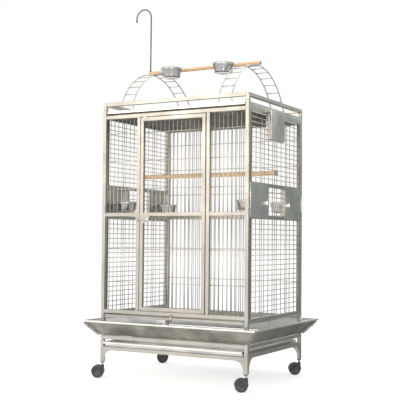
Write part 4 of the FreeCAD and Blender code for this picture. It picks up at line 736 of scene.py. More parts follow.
# %% Pressed sheet
def pressed(name, low, high, depth, radius, bend, sheet, place, u, v, finish):
    """A rounded rectangle in u and v, with its walls and its rolled edge."""
    build = bmesh.new()
    rims = []
    for inset, curve in ((0, bend), (sheet, bend - sheet)):
        shell = []
        for step in range(-1, 5):
            angle = math.radians(90 * step / 4)
            narrower, level = inset + curve - curve * math.cos(angle), depth - bend + curve * math.sin(angle)
            if step < 0:
                narrower, level = inset, 0
            ring = rounded_rectangle(low[0] + narrower, low[1] + narrower, high[0] - narrower,
                                     high[1] - narrower, max(radius - narrower, 0.4 * MM), 6)
            shell.append([build.verts.new(place + u * a + v * b + u.cross(v) * level) for a, b in ring])
        for near, far in zip(shell, shell[1:]):
            walls(build, near, far)
        build.faces.new(shell[-1])
        rims.append(shell[0])
    walls(build, *rims)
    bmesh.ops.recalc_face_normals(build, faces=build.faces)
    crease(build, 50)
    return mesh_of(build, name, None, 0.21, finish)


# %% [markdown]
# ## Bolts, screws and rivets
# Every small fastener here is one turned shape put down many times, so a tree does it: its
# points carry the direction that the head faces, and each head gets its own turn.


# %% Fastener tree
def fastener_tree():
    tree, given = new_tree("fasteners_on_points", {
        "Fastener": ("Object", None), "Seed": ("Int", 3), "Fastener steel": ("Material", None)})
    shape = add(tree, "GeometryNodeObjectInfo", {"Object": given["Fastener"]}).outputs["Geometry"]
    turn = add(tree, "FunctionNodeRandomValue", {2: 0.0, 3: math.pi / 3, "Seed": given["Seed"]},
               data_type="FLOAT").outputs[1]
    spun = add(tree, "FunctionNodeAxisAngleToRotation", {"Axis": Z, "Angle": turn}).outputs[0]
    upright = facing(tree, named(tree, "axis", "FLOAT_VECTOR"))
    way = add(tree, "FunctionNodeRotateRotation", {"Rotation": upright, "Rotate By": spun},
              rotation_space="LOCAL")
    heads = on_points(tree, given["Geometry"], shape, way.outputs[0])
    return end_tree(tree, heads, [(given["Fastener steel"], True)])


FASTENER_TREE = fastener_tree()


def fasteners(name, places, fastener, steel):
    """One mesh with a fastener at each (place, direction)."""
    points = bpy.data.meshes.new(f"{name}.points")
    points.from_pydata([place for place, _ in places], [], [])
    put(points, "axis", [way for _, way in places])
    sample = placed(f"{name}.sample", fastener)
    mesh = grow(name, points, FASTENER_TREE, {"Fastener": sample, "Fastener steel": steel})
    bpy.data.objects.remove(sample)
    return mesh


def rivet_head(radius, height):
    dome = [(radius * math.cos(math.radians(a)), height * math.sin(math.radians(a))) for a in (0, 30, 60)]
    return turned("rivet", [(0, 0)] + dome + [(0, height)], Vector(), Z, 12)


def hex_section(radius, height, base=0):
    """A hexagon head or nut with its corners turned down."""
    top = base + height
    return [(0, base), (radius, base), (radius, base + height * 0.8), (radius * 0.84, top), (0, top)]


def hex_head(radius, height, washer, thick):
    """A hexagon head on a washer."""
    head = turned("hex", hex_section(radius, height, thick), Vector(), Z, 6)
    for face in head.polygons:
        face.use_smooth = False
    build = bmesh.new()
    build.from_mesh(head)
    build.from_mesh(turned("washer", pin(washer, thick, thick * 0.3), Vector(), Z, 16))
    both = bpy.data.meshes.new("hex_on_washer")
    build.to_mesh(both)
    build.free()
    return both


RIVET, HEX_BOLT = rivet_head(*mm(2.4, 1.3)), hex_head(*mm(4.6, 3.5, 5, 1))
print("fastener faces", len(RIVET.polygons), len(HEX_BOLT.polygons))

# %% [markdown]
# ## The frame, the grilles and the sheet parts
# Most of the cage is tube, bar and sheet, and differs only in how far its edges are
# eased: 1.6 mm on tube, a fraction of a millimetre on sheet.

# %% Dress the plain parts
TUBE_EDGE, LEG_EDGE, DOOR_EDGE, SURROUND_EDGE, SHEET_EDGE = mm(1.6, 1.2, 1.4, 0.8, 0.35)
for node in ("stand_rails", "corner_posts", "front_rails", "door_jambs", "rear_rails", "left_side_frame",
             "right_side_frame", "play_top_frame"):
    dress(node, TUBE_EDGE, 3)
dress("stand_legs", LEG_EDGE)
dress("front_door_frame", DOOR_EDGE, 3)
dress("nest_door_surround", SURROUND_EDGE)
dress("tray_runners", SHEET_EDGE, 2, SHEET_STEEL)
# The tray is dark as a painted shade, and its front faces are bright as a painted highlight.
dress("top_tray", SHEET_EDGE, 2, PAINTED_SHADE_TRAY_STEEL, front_highlight_finish=HIGHLIGHT_STEEL)
for node in ("front_left_grille", "front_right_grille", "rear_grille", "left_side_grille",
             "right_side_grille", "front_door_grille", "ladder_rungs"):
    dress(node)
# The roof bars take the darker steel, a painted shade for the roof seen from below.
dress("roof_grille", bars_finish=PAINTED_SHADE_STEEL)

# %% [markdown]
# ## Side panel stiles
# Each side panel is a frame of its own inside the posts, and its upright strips show as a
# dark line beside each post: their steel is a darker copy of the tube steel, a painted shade.
# They run from rail to rail, so the rails' own heights give their ends, and a plain eased
# block is all that each one needs.

# %% Side panel stiles
TUBE_WIDTH, STILE_WIDTH, STILE_SET_BACK, LONG_RAIL = mm(20, 17, 0.8, 300)
FRAME_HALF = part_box("corner_posts")[1]
side_rails = [points for points, _ in solids_of("right_side_frame") if np.ptp(points[:, 1]) > LONG_RAIL]
rails = sorted((points[:, 2].min(), points[:, 2].max()) for points in side_rails)
stiles = []
for (_, bottom), (top, _) in zip(rails, rails[1:]):
    for side, front in ((-1, -1), (-1, 1), (1, -1), (1, 1)):
        if top - bottom > LONG_RAIL:
            post_y = FRAME_HALF.y - TUBE_WIDTH
            near = (side * (FRAME_HALF.x - TUBE_WIDTH + STILE_SET_BACK), front * post_y, bottom)
            far = (side * (FRAME_HALF.x - STILE_SET_BACK), front * (post_y - STILE_WIDTH), top)
            stiles.append(block(f"stile.{len(stiles)}", near, far, LEG_EDGE, PAINTED_SHADE_STEEL, 0.3 * len(stiles)))
assemble("side_panel_stiles", "corner_posts", stiles)

# %% [markdown]
# ## The seed skirt
# Four sheet panels catch the seed that the birds throw. Each is folded from one blank: a
# slope that leaves the frame, then a square hem that stiffens the rim. One section is swept
# along each side, and its ends are cut at 45 degrees where two panels meet. A few tenths of
# a millimetre of wave keep the long sheets from looking cast.

# %% Skirt panels
SKIRT_FLARE, SKIRT_HEM, SKIRT_SHEET, HEM_BEND, SKIRT_WAVE, MITRE_GAP = mm(76, 9, 1.5, 2.4, 0.4, 0.3)
SKIRT_STATIONS = 36
HEM_START = SKIRT_FLARE - SKIRT_HEM
skirt_low, skirt_high, _ = box("seed_skirt_sides")


def skirt_section():
    """Points of (outward, height), each with the finish of the stretch that starts there."""
    bottom, top = skirt_low.z, skirt_high.z
    thick = SKIRT_SHEET * math.sqrt(2)
    slope_end, rim_low = (HEM_START, top - SKIRT_HEM), (SKIRT_FLARE, top - SKIRT_HEM)
    rim_high, hem_back = (SKIRT_FLARE, top), (HEM_START, top)
    hem = fillet(rim_low, slope_end, rim_high, HEM_BEND, 4) + fillet(rim_high, rim_low, hem_back, HEM_BEND, 4)
    inside = fillet(hem_back, rim_high, slope_end, HEM_BEND / 2, 2)
    inside += [(HEM_START, top - SKIRT_HEM + thick), (0, bottom + thick)]
    return [((0, bottom), 0), (slope_end, 0)] + [(p, 1) for p in hem] + [(p, 2) for p in inside]


def skirt_panel(name, outward, along, half_length, half_offset, seed):
    """A folded panel on one side of the frame."""
    section, count = skirt_section(), len(skirt_section())
    drift = random.Random(seed)
    phases = [drift.uniform(0, 6.28) for _ in range(3)]
    square = (outward - Z).normalized()
    points, grain, faces, slots = [], [], [], []
    for station in range(SKIRT_STATIONS + 1):
        share = 2 * station / SKIRT_STATIONS - 1
        wave = sum(math.sin((2 + 2.3 * k) * share + phase) for k, phase in enumerate(phases)) / 3
        for (out, height), _ in section:
            reach = half_length + out - MITRE_GAP
            loose = out / SKIRT_FLARE * (1 - max(0, out / SKIRT_FLARE - 0.8))
            place = outward * (half_offset + out) + along * reach * share + Z * height
            if out < HEM_START - 1e-6:
                place += square * SKIRT_WAVE * wave * (1 - share ** 4) * loose
            points.append(place)
            grain.append((reach * share, out, height + seed))
    for near in range(0, SKIRT_STATIONS * count, count):
        for index, (_, slot) in enumerate(section):
            after = (index + 1) % count
            faces.append((near + index, near + after, near + count + after, near + count + index))
            slots.append(slot)
    faces += [tuple(range(count)), tuple(range(SKIRT_STATIONS * count, len(points)))]
    # One sheet in three finishes: the outside is dark as a painted shade, and the hem and the inside are
    # bright as painted light.
    finishes = (SKIRT_OUTSIDE_SHADED, HIGHLIGHT_STEEL, SKIRT_INSIDE_LIT)
    return smooth_mesh(name, points, faces, grain, 35, finishes, slots + [0, 0])


long_side, short_side = (FRAME_HALF.x, FRAME_HALF.y), (FRAME_HALF.y, FRAME_HALF.x)
front_and_rear = [skirt_panel("skirt_front", -Y, X, *long_side, 1),
                  skirt_panel("skirt_rear", Y, -X, *long_side, 2)]
left_and_right = [skirt_panel("skirt_left", -X, -Y, *short_side, 3),
                  skirt_panel("skirt_right", X, Y, *short_side, 4)]

# %% [markdown]
# ## The skirt's corners
# Each mitre has a folded flange behind it, and two small bolts that draw the panels
# together. The flanges are the CAD's own; the bolts go down by the fastener tree.

# %% Mitre flanges and their bolts
FLANGE_SMALLEST, BOLT_DROP = mm(200, 7)
BOLT_SHARES = (0.30, 0.72)
flanges = [eased(f"skirt_flange.{index}", points, triangles, 0.3 * MM, 2, 0.4 * index, SKIRT_OUTSIDE_SHADED)
           for index, (points, triangles) in enumerate(solids_of("seed_skirt_front_and_rear"))
           if np.ptp(points, axis=0).max() < FLANGE_SMALLEST]
mitre_bolts = []
for side, front in ((-1, -1), (-1, 1), (1, -1), (1, 1)):
    corner = Vector((side * FRAME_HALF.x, front * FRAME_HALF.y, skirt_low.z))
    diagonal = Vector((side, front, 0)).normalized()
    square = Vector((-diagonal.y, diagonal.x, 0))
    for share in BOLT_SHARES:
        out = share * HEM_START
        middle = corner + diagonal * out * math.sqrt(2) + Z * (out - BOLT_DROP)
        for way in (-1, 1):
            mitre_bolts.append((middle + square * way * SKIRT_SHEET / 2, square * way))
bolts = fasteners("skirt_bolts", mitre_bolts, HEX_BOLT, SKIRT_OUTSIDE_SHADED)
assemble("seed_skirt.front_and_rear", "seed_skirt_front_and_rear",
         [*front_and_rear, *flanges, bolts])
assemble("seed_skirt.sides", "seed_skirt_sides", left_and_right)

# %% [markdown]
# ## The litter tray
# The tray is a pan that slides out to be emptied. Its front edge is rolled into a lip to pull
# on, which is one more outline given its length; the lip's brightness is a painted highlight.

# %% Litter tray
TRAY_SHEET, TRAY_LIP_HEIGHT, TRAY_LIP_REACH, TRAY_SLIDE, TRAY_CORNER, TRAY_BEND = mm(1.5, 12, 11, 4, 4, 3)
low, high, _ = box("bottom_tray")
pan_front = low.y + TRAY_LIP_REACH + TRAY_SLIDE
pan = pressed("tray_pan", (low.x, -high.y), (high.x, -pan_front), high.z - low.z, TRAY_CORNER, TRAY_BEND,
              TRAY_SHEET, Z * high.z, X, -Y, SHEET_STEEL)
lip_outline = rounded_rectangle(low.y, high.z - TRAY_LIP_HEIGHT, pan_front, high.z, 3 * MM, 5)
lip = prism("tray_lip", lip_outline, high.x - low.x, X * low.x, Y, Z, 0.6 * MM, HIGHLIGHT_STEEL, 0)
assemble("bottom_tray.pan", "bottom_tray", [pan, lip])

# %% [markdown]
# ## The floor grate
# The grate is bars in a rim, behind a plain strip that fills the gap in the frame. The
# dressing above does both, and four dark screws hold the strip.

# %% Floor grate
STRIP_SCREW_INSET, STRIP_END_GAP, PULL_ABOVE_STRIP, STRIP_HEIGHT = mm(9, 26, 13, 13)
SCREW_SHARES = (-1, -0.36, 0.36, 1)
dress("floor_grate", SHEET_EDGE)
strip_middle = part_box("floor_grate")[1].z - PULL_ABOVE_STRIP - STRIP_HEIGHT / 2
screw_x = FRAME_HALF.x - STRIP_END_GAP - STRIP_SCREW_INSET
strip_screws = [(Vector((screw_x * share, -FRAME_HALF.y, strip_middle)), -Y) for share in SCREW_SHARES]
assemble("floor_grate.screws", "floor_grate",
         [fasteners("grate_screws", strip_screws, RIVET, DARK_STEEL)])

# %% [markdown]
# ## Bowls
# A coop cup is spun from one disc of steel: a flat base with a soft corner, a wall that
# opens a little, and a rolled rim by which it hangs in its ring.

# %% Bowls
BOWL_RIM, BOWL_TOP, BOWL_BASE, BOWL_HEIGHT, BOWL_WALL = mm(62, 57.5, 50.5, 56, 1.2)
RIM_ROLL, BASE_RISE, RISE_START, RISE_END = mm(1.3, 0.8, 11, 14)
under_roll = BOWL_HEIGHT - RIM_ROLL * 1.4
bowl_section = [(0, BASE_RISE), (BOWL_BASE - RISE_END, BASE_RISE), (BOWL_BASE - RISE_START, 0)]
bowl_section += fillet((BOWL_BASE, 0), (0, 0), (BOWL_TOP, BOWL_HEIGHT), 7 * MM, 6)
bowl_section += fillet((BOWL_TOP, under_roll), (BOWL_BASE, 0), (BOWL_RIM, under_roll), 1.2 * MM, 3)
for step in range(9):
    angle = math.radians(-90 + 180 * step / 8)
    bowl_section.append((BOWL_RIM - RIM_ROLL + RIM_ROLL * math.cos(angle),
                         BOWL_HEIGHT - RIM_ROLL + RIM_ROLL * math.sin(angle)))
inner_top, inner_base = (BOWL_TOP - BOWL_WALL, BOWL_HEIGHT), BOWL_BASE - BOWL_WALL
bowl_section += fillet(inner_top, (BOWL_RIM, BOWL_HEIGHT), (inner_base, 0), 3 * MM, 4)
bowl_section += fillet((inner_base, BOWL_WALL), inner_top, (0, BOWL_WALL), 6 * MM, 6)
bowl_section += [(BOWL_BASE - RISE_START, BOWL_WALL), (BOWL_BASE - RISE_END, BASE_RISE + BOWL_WALL),
                 (0, BASE_RISE + BOWL_WALL)]
for node in nodes_like(("feeder_bowl", "top_bowl_left", "top_bowl_right")):
    low, _, centre = box(node)
    centre.z = low.z
    bowl = turned(f"{node}.spun", bowl_section, centre, Z, 64, BRIGHT_STEEL)
    assemble(f"{node}.spun", node, [bowl])

# %% [markdown]
# ## Hinges of the side doors
# Each side door turns on a pin between two end knuckles that are welded to the cage on
# small feet. The door carries the sleeve between them. Turned sections make all three, and
# a gap of a few tenths shows between sleeve and ends as it does on a real hinge.

# %% Hinge pins
KNUCKLE, KNUCKLE_PIN, KNUCKLE_BORE, KNUCKLE_END, SLEEVE_LENGTH, FOOT_INSET = mm(3.6, 1.6, 1.9, 14, 60, 0.5)
hinge_parts = []
for index, (points, _) in enumerate(solids_of("side_door_hinge_pins")):
    low, high, centre = extent(points)
    side, y = math.copysign(1, centre.x), centre.y
    x = (high if side > 0 else low).x - side * KNUCKLE
    hinge_parts.append(turned("hinge_pin", pin(KNUCKLE_PIN, high.z - low.z, 0.3 * MM), (x, y, low.z), Z, 12,
                              BRIGHT_STEEL))
    for bottom in (low.z, high.z - KNUCKLE_END):
        hinge_parts.append(turned("hinge_end", pin(KNUCKLE, KNUCKLE_END, 0.5 * MM), (x, y, bottom), Z, 20,
                                  SHEET_STEEL))
        hinge_parts.append(block("hinge_foot", (side * FRAME_HALF.x, y - KNUCKLE / 2, bottom + FOOT_INSET),
                                 (x, y + KNUCKLE / 2, bottom + KNUCKLE_END - FOOT_INSET), 0.4 * MM,
                                 SHEET_STEEL, 0.2 * index))
assemble("side_door_hinge_pins.turned", "side_door_hinge_pins", hinge_parts)


def hinge_sleeve(x, y, middle):
    return turned("hinge_sleeve", tube(KNUCKLE_BORE, KNUCKLE, SLEEVE_LENGTH, 0.4 * MM),
                  (x, y, middle - SLEEVE_LENGTH / 2), Z, 20, SHEET_STEEL)


# %% [markdown]
# ## Feeder doors and bowl rings
# A feeder door is one cut plate with round corners. Its ring is strip bent into a hoop, on
# two short arms, and it holds a bowl by the rim. The thumb turn's hole is drilled last.

# %% Feeder doors
DOOR_SHEET, DOOR_CORNER, SPINDLE, SPINDLE_HOLE, GRIP_LENGTH = mm(1.5, 6, 3, 3.5, 22)
RING_INSIDE, RING_OUTSIDE, RING_HEIGHT, RING_BELOW_RIM = mm(58.1, 60.1, 8, 1.7)
ARM_REACH, ARM_OFFSET, ARM_WIDTH = mm(22.9, 26, 8)


def bowl_ring(node):
    """The hoop round a bowl, just under its rim."""
    _, high, centre = box(node)
    centre.z = high.z - RING_BELOW_RIM - RING_HEIGHT
    hoop = tube(RING_INSIDE, RING_OUTSIDE, RING_HEIGHT, 0.7 * MM)
    return turned("bowl_ring", hoop, centre, Z, 64, SHEET_STEEL)


for node in nodes_like("feeder_door"):
    low, high, centre = box(node)
    side, front = math.copysign(1, centre.x), math.copysign(1, centre.y)
    hinge_x = (high if side > 0 else low).x - side * KNUCKLE
    hinge_y = (high if front > 0 else low).y - front * KNUCKLE
    face = hinge_x - side * KNUCKLE
    far_y, near_y = front * (FRAME_HALF.y - TUBE_WIDTH), (low if front > 0 else high).y
    _, latch_high, latch = box(node.replace("door", "latch"))
    outline = rounded_rectangle(min(near_y, far_y), low.z, max(near_y, far_y), high.z, DOOR_CORNER, 6)
    plate = prism("door_plate", outline, side * DOOR_SHEET, X * face, Y, Z, 0.3 * MM)
    cutter = turned("spindle_hole", pin(SPINDLE_HOLE, 10 * MM, 0.1 * MM),
                    (face - 5 * MM, latch.y, latch_high.z - GRIP_LENGTH / 2), X, 24)
    plate = drilled("door_plate", plate, [cutter], SHEET_STEEL, 1, 0.3 * side)
    leaf = block("door_leaf", (face, far_y - front * 1 * MM, centre.z - SLEEVE_LENGTH / 2),
                 (face + side * DOOR_SHEET, hinge_y, centre.z + SLEEVE_LENGTH / 2), 0.3 * MM, SHEET_STEEL)
    bowl_node = node.replace("door", "bowl")
    _, bowl_high, bowl = box(bowl_node)
    ring_top = bowl_high.z - RING_BELOW_RIM
    parts = [plate, leaf, hinge_sleeve(hinge_x, hinge_y, centre.z), bowl_ring(bowl_node)]
    for hand in (-1, 1):
        arm_y = bowl.y + hand * ARM_OFFSET
        parts.append(block("ring_arm",
                           (face - side * ARM_REACH, arm_y - ARM_WIDTH / 2, ring_top - RING_HEIGHT),
                           (face, arm_y + ARM_WIDTH / 2, ring_top), 0.8 * MM, SHEET_STEEL, 0.1 * hand))
    assemble(f"{node}.plate", node, parts)

# %% [markdown]
# ## Thumb turns
# A thumb turn locks each feeder door: outside a grip on a collar, through the plate a
# spindle, and inside a tongue that swings behind the stile.

# %% Thumb turns
COLLAR, COLLAR_THICK, GRIP_WIDTH, GRIP_DEPTH = mm(6, 2, 6, 9)
TONGUE_LENGTH, TONGUE_WIDTH, TONGUE_THICK = mm(30, 8, 2.5)
for node in nodes_like("feeder_latch"):
    low, high, centre = box(node)
    side, y, z = math.copysign(1, centre.x), centre.y, high.z - GRIP_LENGTH / 2
    outer, inner = (high.x, low.x) if side > 0 else (low.x, high.x)
    spindle = turned("spindle", pin(SPINDLE, abs(outer - inner) - GRIP_DEPTH, 0.3 * MM), (inner, y, z),
                     X * side, 16, DARK_STEEL)
    # The collar and the grip are in the highlight steel, a painted highlight.
    collar = turned("collar", pin(COLLAR, COLLAR_THICK, 0.6 * MM),
                    (outer - side * (GRIP_DEPTH + COLLAR_THICK), y, z), X * side, 28, HIGHLIGHT_STEEL)
    grip_outline = rounded_rectangle(y - GRIP_WIDTH / 2, z - GRIP_LENGTH / 2, y + GRIP_WIDTH / 2,
                                     z + GRIP_LENGTH / 2, GRIP_WIDTH / 2, 6)
    grip = prism("grip", grip_outline, side * GRIP_DEPTH, X * (outer - side * GRIP_DEPTH), Y, Z, 1.3 * MM,
                 HIGHLIGHT_STEEL, 2)
    tongue_outline = rounded_rectangle(y - TONGUE_WIDTH / 2, low.z, y + TONGUE_WIDTH / 2,
                                       low.z + TONGUE_LENGTH, TONGUE_WIDTH / 2, 6)
    tongue = prism("tongue", tongue_outline, side * TONGUE_THICK, X * inner, Y, Z, 0.4 * MM, SHEET_STEEL, 2)
    assemble(f"{node}.turn", node, [spindle, collar, grip, tongue])

# %% [markdown]
# ## The nest door
# A nest box can hang on the right side, and until then a pressed cover closes the opening.
# A small bolt slides into a hole in the cover's front wall.

# %% Nest door
COVER_DEPTH, COVER_CORNER, COVER_BEND, COVER_LEAF, NEST_BOLT, NEST_KNOB, KNOB_HEIGHT = mm(
    20, 9, 3.5, 4, 3, 5, 7)
low, high, centre = box("nest_door")
cover_rear = high.y - KNUCKLE - COVER_LEAF
bolt_low, bolt_high, bolt = box("nest_bolt")
bolt_x = low.x + COVER_DEPTH / 2
cover = pressed("nest_cover", (low.y, low.z), (cover_rear, high.z), COVER_DEPTH, COVER_CORNER, COVER_BEND,
                DOOR_SHEET, X * low.x, Y, Z, COVER_STEEL)
cutter = turned("nest_bolt_hole", pin(NEST_BOLT + 0.3 * MM, 8 * MM, 0.1 * MM),
                (bolt_x, low.y - 3 * MM, bolt.z), Y, 24)
cover = drilled("nest_cover", cover, [cutter], COVER_STEEL, 2, 0.21)
leaf = block("nest_leaf", (low.x, cover_rear - 1 * MM, centre.z - SLEEVE_LENGTH / 2),
             (low.x + DOOR_SHEET, high.y - KNUCKLE, centre.z + SLEEVE_LENGTH / 2), 0.3 * MM, SHEET_STEEL)
assemble("nest_door.cover", "nest_door",
         [cover, leaf, hinge_sleeve(low.x + KNUCKLE, high.y - KNUCKLE, centre.z)])
shaft = turned("nest_shaft", pin(NEST_BOLT, bolt_high.y - bolt_low.y, 0.8 * MM), (bolt_x, bolt_low.y, bolt.z),
               Y, 20, DARK_STEEL)
length, neck = NEST_BOLT + KNOB_HEIGHT, NEST_KNOB * 0.5
knob_section = [(0, 0), (neck, 0), (neck, length * 0.5)]
knob_section += fillet((NEST_KNOB, length * 0.58), (neck, length * 0.5), (NEST_KNOB, length), 0.6 * MM, 3)
knob_section += fillet((NEST_KNOB, length), (NEST_KNOB, 0), (0, length), 1.4 * MM, 4) + [(0, length)]
knob = turned("nest_knob", knob_section, (bolt_x, bolt_low.y + NEST_KNOB, bolt.z), X, 28, DARK_STEEL)
assemble("nest_bolt.turned", "nest_bolt", [shaft, knob])

# %% [markdown]
# ## The front door's latch
# A round bolt slides under two straps that are riveted to a plate, and on into a third
# strap on the jamb. A strap is strip folded over the bolt, so it's an outline with a round
# outer bend, given its width.

# %% Door latch
PLATE_THICK, STRAP_THICK, STRAP_WIDTH, STRAP_SPACING, LATCH_BOLT = mm(2, 2.5, 10, 25, 4)
STRAP_GAP, THUMB_WIDTH, THUMB_REACH, STRAP_BEND, INNER_BEND, PLATE_CORNER = mm(0.6, 8, 15, 3.2, 1, 2.5)
bolt_low, bolt_high, bolt = box("latch_bolt")
bolt_y = bolt_high.y - LATCH_BOLT


def strap(name, centre_x, width, lot):
    """A strap folded over the bolt, from the plate out and back."""
    inside = LATCH_BOLT + STRAP_GAP
    outside, back = inside + STRAP_THICK, bolt_y + inside
    over = [(back, -outside), (bolt_y - outside, -outside), (bolt_y - outside, outside), (back, outside)]
    under = [(back, inside), (bolt_y - inside, inside), (bolt_y - inside, -inside), (back, -inside)]
    outline = rounded(over, STRAP_BEND, 5, closed=False) + rounded(under, INNER_BEND, 3, closed=False)
    return prism(name, [(y, bolt.z + z) for y, z in outline], width, X * (centre_x - width / 2), Y, Z,
                 0.35 * MM, TUBE_STEEL, 2, lot)


def latch_plate(name, node, lot):
    low, high, _ = box(node)
    outline = rounded_rectangle(low.x, low.z, high.x, high.z, PLATE_CORNER, 4)
    return prism(name, outline, PLATE_THICK, Y * -FRAME_HALF.y, X, Z, 0.35 * MM, TUBE_STEEL, 0, lot)


def plate_rivets(name, places):
    level = -FRAME_HALF.y - PLATE_THICK
    return fasteners(name, [(Vector((x, level, z)), -Y) for x, z in places], RIVET, BRIGHT_STEEL)


plate_low, plate_high, _ = box("latch_body")
near_x = plate_low.x + STRAP_WIDTH / 2
rivet_places = [(x, plate_low.z + rise) for x in (plate_low.x + 5 * MM, plate_high.x - 5 * MM)
                for rise in mm(5, 14)]
assemble("latch_body.plate", "latch_body",
         [latch_plate("latch_plate", "latch_body", 0.3), strap("strap_near", near_x, STRAP_WIDTH, 0.5),
          strap("strap_far", near_x + STRAP_SPACING, STRAP_WIDTH, 0.7),
          plate_rivets("latch_rivets", rivet_places)])
keeper_low, keeper_high, keeper = box("latch_keeper")
assemble("latch_keeper.plate", "latch_keeper",
         [latch_plate("keeper_plate", "latch_keeper", 0.9),
          strap("keeper_strap", keeper.x, keeper_high.x - keeper_low.x, 0.1),
          plate_rivets("keeper_rivets", [(keeper.x, keeper_low.z + 8 * MM)])])
# The latch bolt and its thumb are in the highlight steel, a painted highlight.
shaft = turned("latch_shaft", pin(LATCH_BOLT, bolt_high.x - bolt_low.x, 1.2 * MM),
               (bolt_low.x, bolt_y, bolt.z), X, 28, HIGHLIGHT_STEEL)
thumb_outline = rounded_rectangle(bolt_high.x - THUMB_WIDTH, bolt_y - THUMB_REACH, bolt_high.x, bolt_y,
                                  PLATE_CORNER, 5)
thumb = prism("latch_thumb", thumb_outline, 2 * LATCH_BOLT, Z * (bolt.z - LATCH_BOLT), X, Y, 1 * MM,
              HIGHLIGHT_STEEL, 1)
assemble("latch_bolt.turned", "latch_bolt", [shaft, thumb])

# %% [markdown]
# ## The top bowls' holders
# Each top bowl hangs in a hoop on an arm, and the arm ends in a clamp round the perch with
# a pinch screw below.

# %% Top bowl holders
CLAMP_INSIDE, CLAMP_OUTSIDE, CLAMP_WIDTH = mm(10, 12.5, 18)
_, perch_high, perch = box("top_perch")
holder_parts, pinch_screws = [], []
for node in ("top_bowl_left", "top_bowl_right"):
    _, high, bowl = box(node)
    ring_top, near_x, far_x = high.z - RING_BELOW_RIM, bowl.x - CLAMP_WIDTH / 2, bowl.x + CLAMP_WIDTH / 2
    arm_low = (near_x + 0.5 * MM, bowl.y + RING_INSIDE + 0.3 * MM, ring_top - RING_HEIGHT + 0.3 * MM)
    arm_high = (far_x - 0.5 * MM, perch.y - CLAMP_INSIDE - 0.2 * MM, ring_top - 0.3 * MM)
    holder_parts += [
        bowl_ring(node),
        turned("perch_clamp", tube(CLAMP_INSIDE, CLAMP_OUTSIDE, CLAMP_WIDTH, 0.6 * MM),
               (near_x, perch.y, perch.z), X, 40, SHEET_STEEL),
        block("ring_arm", arm_low, arm_high, 0.8 * MM, SHEET_STEEL)]
    pinch_screws.append((Vector((bowl.x, perch.y, perch.z - CLAMP_OUTSIDE + 0.2 * MM)), -Z))
holder_parts.append(fasteners("pinch_screws", pinch_screws, HEX_BOLT, DARK_STEEL))
assemble("top_bowl_holders.bent", "top_bowl_holders", holder_parts)

# %% [markdown]
# ## Saddles, cap and nut
# Saddles hold the perch on the ladders, each with two screws, and a cap with a nut closes
# the perch's right end.

# %% Perch saddles, cap and nut
CAP_RADIUS, CAP_THICK, CAP_TAPER, NUT_RADIUS, NUT_LENGTH, SADDLE_SCREW, SADDLE_LENGTH = mm(
    11, 3, 0.4, 5, 5, 7, 40)
fitting_parts, saddle_screws = [], []
for points, _ in solids_of("top_perch_fittings"):
    low, high, _ = extent(points)
    if high.x - low.x > SADDLE_LENGTH:
        outline = rounded_rectangle(low.x, low.y, high.x, high.y, 4 * MM, 5)
        fitting_parts.append(prism("saddle", outline, high.z - low.z, Z * low.z, X, Y, 0.5 * MM,
                                   SHEET_STEEL, 0))
        for x in (low.x + SADDLE_SCREW, high.x - SADDLE_SCREW):
            saddle_screws.append((Vector((x, 0, high.z)), Z))
cap_edge = (CAP_RADIUS - CAP_TAPER, 0)
cap_section = [(0, 0), cap_edge] + fillet((CAP_RADIUS, CAP_THICK), cap_edge, (0, CAP_THICK), 1 * MM, 4)
cap = turned("perch_cap", cap_section + [(0, CAP_THICK)], (perch_high.x, perch.y, perch.z), X, 32,
             SHEET_STEEL)
nut = turned("perch_nut", hex_section(NUT_RADIUS, NUT_LENGTH), (perch_high.x + CAP_THICK, perch.y, perch.z),
             X, 6, BRIGHT_STEEL)
screws = fasteners("saddle_screws", saddle_screws, RIVET, BRIGHT_STEEL)
assemble("top_perch_fittings.made", "top_perch_fittings", [*fitting_parts, cap, nut, screws])

# %% [markdown]
# ## Bent rods
# The ladder arches and the toy hook are rods bent over a former. Each starts as a line of
# points along its path, and a tree sweeps a circle along it.


# %% Rod tree
def rod_tree():
    tree, given = new_tree("rod_on_path", {
        "Thickness": ("Float", 6 * MM), "Sides": ("Int", 14), "Rod steel": ("Material", None)})
    path = add(tree, "GeometryNodeMeshToCurve", {"Mesh": given["Geometry"]}).outputs["Curve"]
    far = add(tree, "GeometryNodeSplineParameter").outputs["Length"]
    ring = add(tree, "GeometryNodeCurvePrimitiveCircle", {
        "Resolution": given["Sides"], "Radius": arithmetic(tree, "MULTIPLY", given["Thickness"], 0.5)})
    swept = add(tree, "GeometryNodeCurveToMesh", {
        "Curve": stored(tree, path, "far", far), "Profile Curve": ring.outputs["Curve"], "Fill Caps": True})
    place = add(tree, "GeometryNodeInputPosition").outputs["Position"]
    across = add(tree, "ShaderNodeSeparateXYZ", {"Vector": place}).outputs
    grain = combined(tree, named(tree, "far"), across["X"], across["Y"])
    return end_tree(tree, swept.outputs["Mesh"], [(given["Rod steel"], True)], grain)


ROD_TREE = rod_tree()


def rod_mesh(name, paths, sizes):
    line = bpy.data.meshes.new(f"{name}.paths")
    points, joins = [], []
    for path in paths:
        joins += [(len(points) + i, len(points) + i + 1) for i in range(len(path) - 1)]
        points += path
    line.from_pydata(points, joins, [])
    return grow(name, line, ROD_TREE, sizes)


# %% [markdown]
# ## The ladders' arches
# Each ladder rail is one rod: it stands straight up to a knee at the play top, then follows
# a circle over to the other side. The CAD rail gives the foot and the apex, and those two
# fix the circle, so the arch stays right if the cage changes size.

